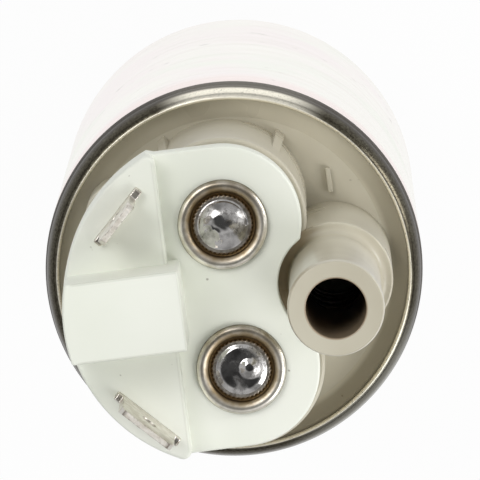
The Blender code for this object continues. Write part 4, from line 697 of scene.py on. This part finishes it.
class Finish:
    """One material: a Principled shader, its Object coordinates, and the nodes that feed it."""

    def __init__(self, name, **uniform):
        self.material = bpy.data.materials.new(name)
        self.material.use_nodes = True
        self.tree = self.material.node_tree
        self.shader = self.tree.nodes["Principled BSDF"]
        self.place = self.node("ShaderNodeTexCoord", output="Object")
        self.feed(**uniform)

    def node(self, kind, settings=None, inputs=None, output=0):
        """Any node: its settings are set first, then its sockets get their values or links."""
        made = self.tree.nodes.new(kind)
        for name, value in (settings or {}).items():
            setattr(made, name, value)
        for name, value in (inputs or {}).items():
            self.join(made.inputs[name], value)
        return Wire(self, made.outputs[output])

    def join(self, socket, value):
        """Links a Wire to a socket, or sets the socket's own value."""
        if isinstance(value, Wire):
            self.tree.links.new(value.socket, socket)
        else:
            socket.default_value = value

    def feed(self, **sockets):
        """Feeds the shader: names such as base_color or ior."""
        for name, value in sockets.items():
            socket = name.replace("_", " ").title().replace("Ior", "IOR")
            self.join(self.shader.inputs[socket], value)

    def noise(self, scale, detail=3.0, stretch=(1, 1, 1), shift=(0, 0, 0), roughness=0.55):
        """Cloudy noise of about 0 to 1, its features the inverse of scale in metres, squeezed by stretch."""
        inputs = {"Vector": self.place, "Scale": stretch, "Location": shift}
        squeezed = self.node("ShaderNodeMapping", None, inputs)
        inputs = {"Vector": squeezed, "Scale": scale, "Detail": detail, "Roughness": roughness}
        return self.node("ShaderNodeTexNoise", None, inputs, "Fac")

    def mix(self, share, first, second):
        """A colour between two colours, each a Wire or three numbers as seen on screen."""
        pair = [tone(*colour) if isinstance(colour, tuple) else colour for colour in (first, second)]
        return self.node("ShaderNodeMix", {"data_type": "RGBA"}, {0: share, 6: pair[0], 7: pair[1]}, 2)

    def coated(self, base, *coats):
        """A base colour under further coats, each given as its share and its colour."""
        for share, coat in coats:
            base = self.mix(share, base, coat)
        return base

    def axes(self):
        """The three object coordinates, in millimetres."""
        scaled = self.node("ShaderNodeMapping", None, {"Vector": self.place, "Scale": (1 / MM,) * 3})
        parts = self.node("ShaderNodeSeparateXYZ", None, {0: scaled})
        return [Wire(self, part) for part in parts.socket.node.outputs]

    def away_from(self, *centres):
        """The distance from the nearest of several upright axes, in millimetres."""
        x, y = self.axes()[:2]
        nearest = None
        for place_x, place_y in centres:
            reach = ((x - place_x) ** 2.0 + (y - place_y) ** 2.0) ** 0.5
            nearest = reach if nearest is None else reach.maths("MINIMUM", nearest, reach)
        return nearest

    def wear(self):
        """The piece's own wear value: 1 on rounded edges and 0 on flat faces."""
        return self.node("ShaderNodeAttribute", {"attribute_name": "wear"}, None, "Fac")

    def dress(self, colour, roughness, height, strength, depth, *names):
        """Feeds colour and roughness, bends the normal by a height of 0 to 1 whose real size is the depth
        in micrometres, and puts the material on pieces or CAD nodes in place of what they have."""
        inputs = {"Height": height, "Strength": strength, "Distance": depth * 0.000001}
        self.feed(base_color=colour, roughness=roughness, normal=self.node("ShaderNodeBump", None, inputs))
        for name in names:
            piece = bpy.data.objects[name]
            for slot in piece.material_slots:
                slot.material = self.material
            if not piece.material_slots:
                piece.data.materials.append(self.material)
        print(self.material.name, "is on", ", ".join(names))


print("mid grey is", round(tone(128, 128, 128)[0], 3))

# %% [markdown]
# ## Finishes
# Zinc plate is pale and slightly rainbow-coloured, because its passivation film is as thin as light waves
# are long. The tube was polished as it turned, so the grain runs round it: noise squeezed along the axis
# gives those rings. The rolled edges are painted dark and mottled, a painted reflection of dark
# surroundings. They have a near-black painted shade line at the outer corner, a painted highlight along the
# lip, and painted highlight arcs, one toward +Y and one toward -Y and +X. The -Y side has no dark corner
# line, and the outer half of each roll is duller. Both ends are measured from one level near the tube's
# middle.

# %% Zinc-plated steel
BAND_MIDDLE = 33.4
zinc = Finish("zinc_plate")
x, y, z = zinc.axes()
radius = zinc.away_from((0, 0))
from_middle = (z - BAND_MIDDLE).size()
rolled = from_middle.smooth(31.2, 31.4)
upper_side = (y / radius).smooth(-0.75, -0.3)
outer_corner = from_middle.smooth(34.1, 33.6) * upper_side
dull_outer_roll = rolled * from_middle.smooth(33.4, 32.9) * upper_side
lip = radius.smooth(17.86, 17.74)
toward_back = (0.17 * x + 0.985 * y) / radius
toward_front = (0.66 * x - 0.75 * y) / radius
grain = zinc.noise(60, 5.0, stretch=(1, 1, 9))
film = zinc.noise(45, 2.0, shift=(0.01, 0.02, 0.0))
second_film = zinc.noise(60, 2.0, shift=(0.3, 0.1, 0.2))
mottle = zinc.noise(4200, 5.0, roughness=0.7)
pits = zinc.noise(420, 2.0, stretch=(1, 1, 1.5)).smooth(0.71, 0.74)
tube = zinc.coated(
    (249, 247, 240),
    (film.smooth(0.4, 0.65), (248, 240, 238)),
    (second_film.smooth(0.5, 0.7) * 0.8, (243, 246, 235)),
    (z.smooth(57, 62) * 0.85, (248, 230, 226)),
    (grain.smooth(0.5, 0.75) * 0.3, (226, 222, 212)),
    (pits * 0.6, (140, 132, 120)),
)
# Painted reflection and painted highlights: the rolled edges are painted dark, with painted highlight arcs
# toward +Y and toward -Y and +X, a painted highlight along the lip and a near-black painted shade line at the
# outer corner.
painted_rim_reflection = zinc.coated(
    (104, 100, 86),
    (mottle.smooth(0.35, 0.65), (64, 58, 48)),
    (toward_front.smooth(0.84, 0.98) * 0.6, (150, 148, 138)),
    (toward_back.smooth(0.88, 0.975) * mottle.smooth(0.1, 0.5), (255, 250, 234)),
    (outer_corner * 0.9, (50, 42, 32)),
    (lip * mottle.smooth(0.2, 0.5), (255, 250, 234)),
)
dull = 0.2 + 0.1 * grain + 0.3 * lip + 0.4 * dull_outer_roll
zinc.feed(metallic=1 - 0.9 * dull_outer_roll)
zinc.dress(zinc.mix(rolled, tube, painted_rim_reflection), dull, grain * 0.5 + mottle * rolled * 0.5, 0.15, 30, "shell_tube")

# %% [markdown]
# Moulded plastic is never quite one colour. Slow clouds shift the tone a little, and dust settles as dark
# specks. Painted shade darkens the cover's beige low on the column's side of the sloped band, and browns
# the collar where it faces the board. The roughness varies slowly only: a fine grain in it would glitter
# on walls that are seen edge-on. The white steps have painted shade along their rounded edges.

# %% Beige and white plastic
beige = Finish("beige_moulding", ior=1.5, coat_roughness=0.15)
x, y, z = beige.axes()
radius, from_column = beige.away_from((0, 0)), beige.away_from(COLUMN_PLACE)
# Painted shade: the sloped band is darker low on the column's side.
painted_band_shade = ((0.85 * x - 0.53 * y) / radius).smooth(0.1, 0.9) * radius.smooth(15.6, 16.2)
painted_band_shade = painted_band_shade * z.smooth(72, 69)
bore = from_column.smooth(3.1, 2.95)
nipple = z.smooth(82.3, 83.0) * z.smooth(101.9, 101.6)
# Painted shade: the collar's top is painted browner where it faces the board's notch.
painted_collar_shade = x.smooth(10, 7) * from_column.smooth(4.45, 4.7)
painted_collar_shade = painted_collar_shade * from_column.smooth(5.9, 5.7) * z.smooth(81.5, 82.0)
cloud = beige.noise(90, 3.0)
bands = beige.noise(20, 1.0, stretch=(1, 1, 10))
specks = beige.noise(900, 1.0, shift=(0.2, 0.4, 0.1)).smooth(0.76, 0.8)
colour = beige.coated(
    (194, 188, 169),
    (cloud.smooth(0.35, 0.65), (202, 197, 179)),
    (bands.smooth(0.42, 0.62) * 0.2, (166, 159, 140)),
    (painted_band_shade * 0.5, (118, 106, 80)),
    (specks * 0.5, (96, 84, 66)),
    (painted_collar_shade * 0.7, (146, 122, 84)),
    (bore * 0.9, (150, 132, 108)),
)
beige.feed(coat_weight=nipple * 0.5)
beige.dress(colour, 0.26 + 0.04 * cloud, cloud * 0.6 + bands * 0.4, 0.05, 30, "cover_moulding")

white = Finish("white_moulding", ior=1.5)
z = white.axes()[2]
cloud = white.noise(60, 3.0)
grain = white.noise(3000, 3.0)
specks = white.noise(800, 1.0, shift=(0.5, 0.3, 0.7)).smooth(0.76, 0.79) * z.smooth(93, 92)
# Painted shade: the steps' rounded edges are painted a little darker.
painted_step_shade = white.wear() * z.smooth(86, 87) * white.away_from((0, 0)).smooth(16.0, 15.4)
colour = white.coated(
    (233, 236, 224),
    (cloud.smooth(0.35, 0.65), (238, 240, 230)),
    (specks * 0.6, (120, 112, 96)),
    (painted_step_shade * 0.4, (200, 202, 188)),
)
white.dress(colour, 0.5 + 0.08 * grain, grain, 0.1, 20, "terminal_block")

# %% [markdown]
# Nickel plate is a warm grey. The eyelets carry a brown flux stain that is strongest at their inner edge,
# next to the solder, so the stain follows the distance from the post's axis. Painted shade makes each
# eyelet's +Y side darker and browner. The posts are steel under the same flux, and the solder is a near
# mirror with dull patches.

# %% Nickel, posts and solder
nickel = Finish("nickel_plate", metallic=1.0)
y = nickel.axes()[1]
from_post = nickel.away_from(*POSTS.values())
post_y = y.maths("SIGN", y) * POST_OFFSET
patchy, fine = nickel.noise(900, 4.0), nickel.noise(4000, 2.0)
stain = from_post.smooth(4.0, 3.35)
colour = nickel.coated(
    (244, 240, 230),
    (patchy.smooth(0.3, 0.7), (212, 206, 192)),
    # Painted shade: each eyelet's +Y side is painted darker and browner.
    (((y - post_y) / from_post).smooth(-0.1, 0.9) * (0.3 + 0.6 * patchy), (132, 116, 88)),
    (stain * (0.5 + 0.6 * patchy), (142, 120, 82)),
    (from_post.smooth(3.45, 3.1), (108, 88, 58)),
    (from_post.smooth(4.3, 4.42) * 0.75, (84, 74, 56)),
)
dull = 0.28 + 0.12 * fine + 0.1 * stain
nickel.dress(colour, dull, patchy * 0.6 + fine * 0.4, 0.2, 30, "rolled_eyelet_a", "rolled_eyelet_b")

steel = Finish("fluxed_steel", metallic=1.0)
patchy = steel.noise(1500, 4.0)
colour = steel.coated(
    (196, 190, 180),
    (patchy.smooth(0.35, 0.65), (130, 122, 112)),
    (steel.away_from(*POSTS.values()).smooth(2.7, 2.9) * 0.85, (124, 100, 66)),
)
steel.dress(colour, 0.3 + 0.2 * patchy, patchy, 0.2, 30, "knurled_post_a", "knurled_post_b")

tin = Finish("solder", metallic=1.0)
patchy, fine = tin.noise(700, 4.0), tin.noise(3200, 3.0)
wrinkled = tin.noise(420, 2.0, shift=(0.1, 0.0, 0.3)).smooth(0.5, 0.62)
colour = tin.coated(
    (196, 194, 192),
    (patchy.smooth(0.4, 0.7), (136, 134, 132)),
    (wrinkled * fine.smooth(0.5, 0.6) * 0.6, (96, 92, 90)),
)
tin.dress(colour, 0.1 + 0.25 * wrinkled, fine * wrinkled, 0.5, 60, "solder_dome_a", "solder_dome_b")

# %% [markdown]
# The blades are plated strip. The top edge was cut after plating, so it is duller, and bare and brown at
# its two ends. Scuffs from the plug darken the worn edges in small spots, and the cut shoulders too.

# %% Blades
plated = Finish("tinned_blade")
z = plated.axes()[2]
worn = plated.wear()
patchy = plated.noise(1300, 4.0)
scuffs = plated.noise(2800, 4.0).smooth(0.5, 0.64)
ends = plated.away_from(*(blade["place"] for blade in BLADES.values())).smooth(2.3, 2.8)
top_edge = z.smooth(BLADE_TOP - 0.14, BLADE_TOP - 0.04)
cut = top_edge * (0.2 + 0.8 * ends) + (z - BLADE_SHOULDER + 0.03).size().smooth(0.14, 0.06)
colour = plated.coated(
    (238, 234, 226),
    (patchy.smooth(0.35, 0.65), (214, 208, 196)),
    (cut * (1 - 0.8 * worn) * (0.2 + 0.6 * scuffs), (92, 80, 68)),
    (scuffs * worn * 0.45, (104, 90, 76)),
    (top_edge * ends * 0.85, (92, 80, 68)),
)
plated.feed(metallic=1 - 0.4 * top_edge)
dull = 0.26 + 0.14 * patchy + 0.3 * top_edge
plated.dress(colour, dull, (patchy + scuffs) * 0.5, 0.25, 30, *(f"stamped_{name}" for name in BLADES))

# %% [markdown]
# The pieces inside are seen only when the pump is opened, but each has its own finish: machined steel and
# cast aluminium, drawn copper, sintered bronze that is full of pores, black ferrite and carbon, and brown
# phenolic. They differ only in their numbers, so one loop makes them from a table: coarse noise mixes two
# tones, and fine noise is the grain.

# %% Inner finishes
# Each finish: light and dark tone, roughness, metallic, the grain's size in millimetres and its depth in
# micrometres, and the pieces, where * stands for wound_. TURNED squeezes the grain where a tool ran round.
INNER = {
    "cast_aluminium": ((200, 200, 198), (172, 172, 170), 0.42, 1.0, 0.6, 30, "inlet_casting pump_casing"),
    "drawn_copper": ((206, 124, 84), (178, 98, 62), 0.28, 1.0, 0.5, 8, "commutator *choke_a *choke_b"),
    "turned_brass": ((206, 172, 98), (182, 146, 76), 0.3, 1.0, 0.3, 8, "check_seat relief_plug"),
    "sintered_bronze": ((166, 130, 88), (124, 92, 60), 0.5, 1.0, 0.15, 40, "bush_upper bush_lower"),
    "ground_steel": (
        (196, 196, 198), (168, 168, 170), 0.22, 1.0, 0.3, 6,
        "shaft relief_ball thrust_button magnet_clip_a magnet_clip_b "
        "*brush_spring_a *brush_spring_b *check_spring *relief_spring",
    ),
    "lamination_steel": ((122, 124, 128), (92, 92, 96), 0.4, 1.0, 0.4, 20, "armature_core"),
    "enamelled_wire": ((172, 84, 44), (132, 58, 30), 0.35, 0.0, 0.4, 60, "winding"),
    "brush_carbon": ((62, 62, 64), (40, 40, 42), 0.55, 0.0, 0.2, 20, "brush_a brush_b"),
    "ferrite": (
        (78, 78, 84), (54, 54, 60), 0.5, 0.0, 0.25, 20, "magnet_a magnet_b choke_core_a choke_core_b"
    ),
    "moulded_phenolic": (
        (104, 66, 40), (72, 44, 26), 0.42, 0.0, 0.4, 15, "impeller insulator_lower insulator_upper"
    ),
    "seal_rubber": ((48, 48, 48), (32, 32, 32), 0.6, 0.0, 0.3, 12, "seal_ring"),
    "acetal": ((236, 236, 228), (224, 224, 214), 0.38, 0.0, 0.4, 8, "check_poppet"),
}
TURNED = {"turned_brass": (1, 1, 12), "ground_steel": (1, 1, 14), "lamination_steel": (0.2, 0.2, 8)}
for name, (light, dark, roughness, metallic, grain, depth, pieces) in INNER.items():
    made, stretch = Finish(name, metallic=metallic), TURNED.get(name, (1, 1, 1))
    coarse = made.noise(1 / (grain * 4 * MM), 3.0, stretch)
    fine = made.noise(1 / (grain * MM), 4.0, stretch)
    colour = made.mix(coarse.smooth(0.35, 0.65), light, dark)
    dull = roughness * 0.85 + fine * roughness * 0.3
    made.dress(colour, dull, fine, 0.3, depth, *pieces.replace("*", "wound_").split())

# %% [markdown]
# ## Camera
# The photograph looks down on the outlet end from nearly straight above, a little from the shell's far
# side, from far away. The camera's three axes are written in the pump's frame and put together as a
# matrix, which is surer than three angles.

# %% Camera
right = Vector((0.9918, -0.1276, -0.0089)).normalized()
up = Vector((0.1264, 0.9829, -0.1326))
up = (up - right * up.dot(right)).normalized()
back = right.cross(up)
lens = bpy.data.cameras.new("camera")
lens.sensor_width, lens.lens = 36.0, 499.95
lens.clip_start, lens.clip_end = 0.05, 20.0
camera = placed("camera", lens)
scene = bpy.context.scene
turn = Matrix((right, up, back)).transposed().to_4x4()
camera.matrix_world = Matrix.Translation((18.2 * MM, 90.4 * MM, 730.6 * MM)) @ turn
scene.camera = camera
print("camera looks along", [round(-part, 3) for part in back])

# %% [markdown]
# ## Studio
# A pale floor, one soft box from the right, a low one that reaches under the eyelets' beads, one from
# behind on the left, and a grey sky, which is dark overhead because flat tops and the solder mirror it.
# The floor takes the pump's shadow, but it is nearly white to the camera. It is also white to mirrors,
# close to the pump and in a sector behind it, so that the tube and the upper rim show it.

# %% Floor, sky and lamps
FLOOR_RADIUS, FLOOR_LEVEL = 2500, -8.0
ring = circle((0, 0), FLOOR_RADIUS)
points = np.concatenate((ring, np.full((len(ring), 1), FLOOR_LEVEL)), axis=1) * MM
disc = bpy.data.meshes.new("studio_floor")
disc.from_pydata(points.tolist(), [], [list(range(len(ring)))])
floor = placed("studio_floor", disc)
paper = Finish("floor_paper", roughness=0.9, base_color=(0.62, 0.62, 0.62, 1))
seen = paper.node("ShaderNodeLightPath", output="Is Camera Ray")
mirrored = paper.node("ShaderNodeLightPath", output="Is Glossy Ray")
glow = paper.node("ShaderNodeEmission", None, {"Color": (1, 1, 1, 1), "Strength": 1.0})
body = Wire(paper, paper.shader.outputs[0])
x, y = paper.axes()[:2]
reach = paper.away_from((0, 0))
behind = ((0.12 * x + 0.99 * y) / reach).smooth(0.88, 0.97)
near = reach.smooth(130, 70)
bright = near + (1 - near) * behind
mixed = paper.node("ShaderNodeMixShader", None, {0: (seen + mirrored * bright) * 0.96, 1: body, 2: glow})
paper.join(paper.tree.nodes["Material Output"].inputs[0], mixed)
floor.data.materials.append(paper.material)

SKY = ((0.0, 0.15), (0.25, 0.5), (0.6, 0.66), (0.82, 0.66), (0.91, 0.08))
sky = bpy.data.worlds.new("studio_sky")
sky.use_nodes = True
scene.world = sky
nodes, links = sky.node_tree.nodes, sky.node_tree.links
coordinates = nodes.new("ShaderNodeTexCoord")
split = nodes.new("ShaderNodeSeparateXYZ")
ramp = nodes.new("ShaderNodeValToRGB")
links.new(coordinates.outputs["Generated"], split.inputs[0])
links.new(split.outputs[2], ramp.inputs[0])
links.new(ramp.outputs[0], nodes["Background"].inputs["Color"])
nodes["Background"].inputs["Strength"].default_value = 1.0
stops = ramp.color_ramp.elements
stops.remove(stops[1])
for number, (height, grey) in enumerate(SKY):
    stop = stops.new(height) if number else stops[0]
    stop.color = (grey, grey, grey, 1)

# Each lamp: azimuth and elevation in degrees, size in metres and power in watts.
LAMPS = {"right": (-36, 38, 0.4, 2.4), "low": (15, 12, 0.3, 1.9), "left": (128, 48, 0.4, 2.1)}
AIM, LAMP_DISTANCE = Vector((0, 0, 0.08)), 0.75
for name, (azimuth, elevation, size, power) in LAMPS.items():
    light = bpy.data.lights.new(name, "AREA")
    light.shape, light.size, light.energy = "SQUARE", size, power
    azimuth, elevation = math.radians(azimuth), math.radians(elevation)
    level = math.cos(elevation)
    direction = Vector((math.cos(azimuth) * level, math.sin(azimuth) * level, math.sin(elevation)))
    lamp = placed(name, light)
    lamp.location = AIM + LAMP_DISTANCE * direction
    lamp.rotation_euler = (-direction).to_track_quat("-Z", "Y").to_euler()
scene.view_settings.view_transform = "Standard"
print(len(LAMPS), "lamps round a floor", 2 * FLOOR_RADIUS * MM, "m across")
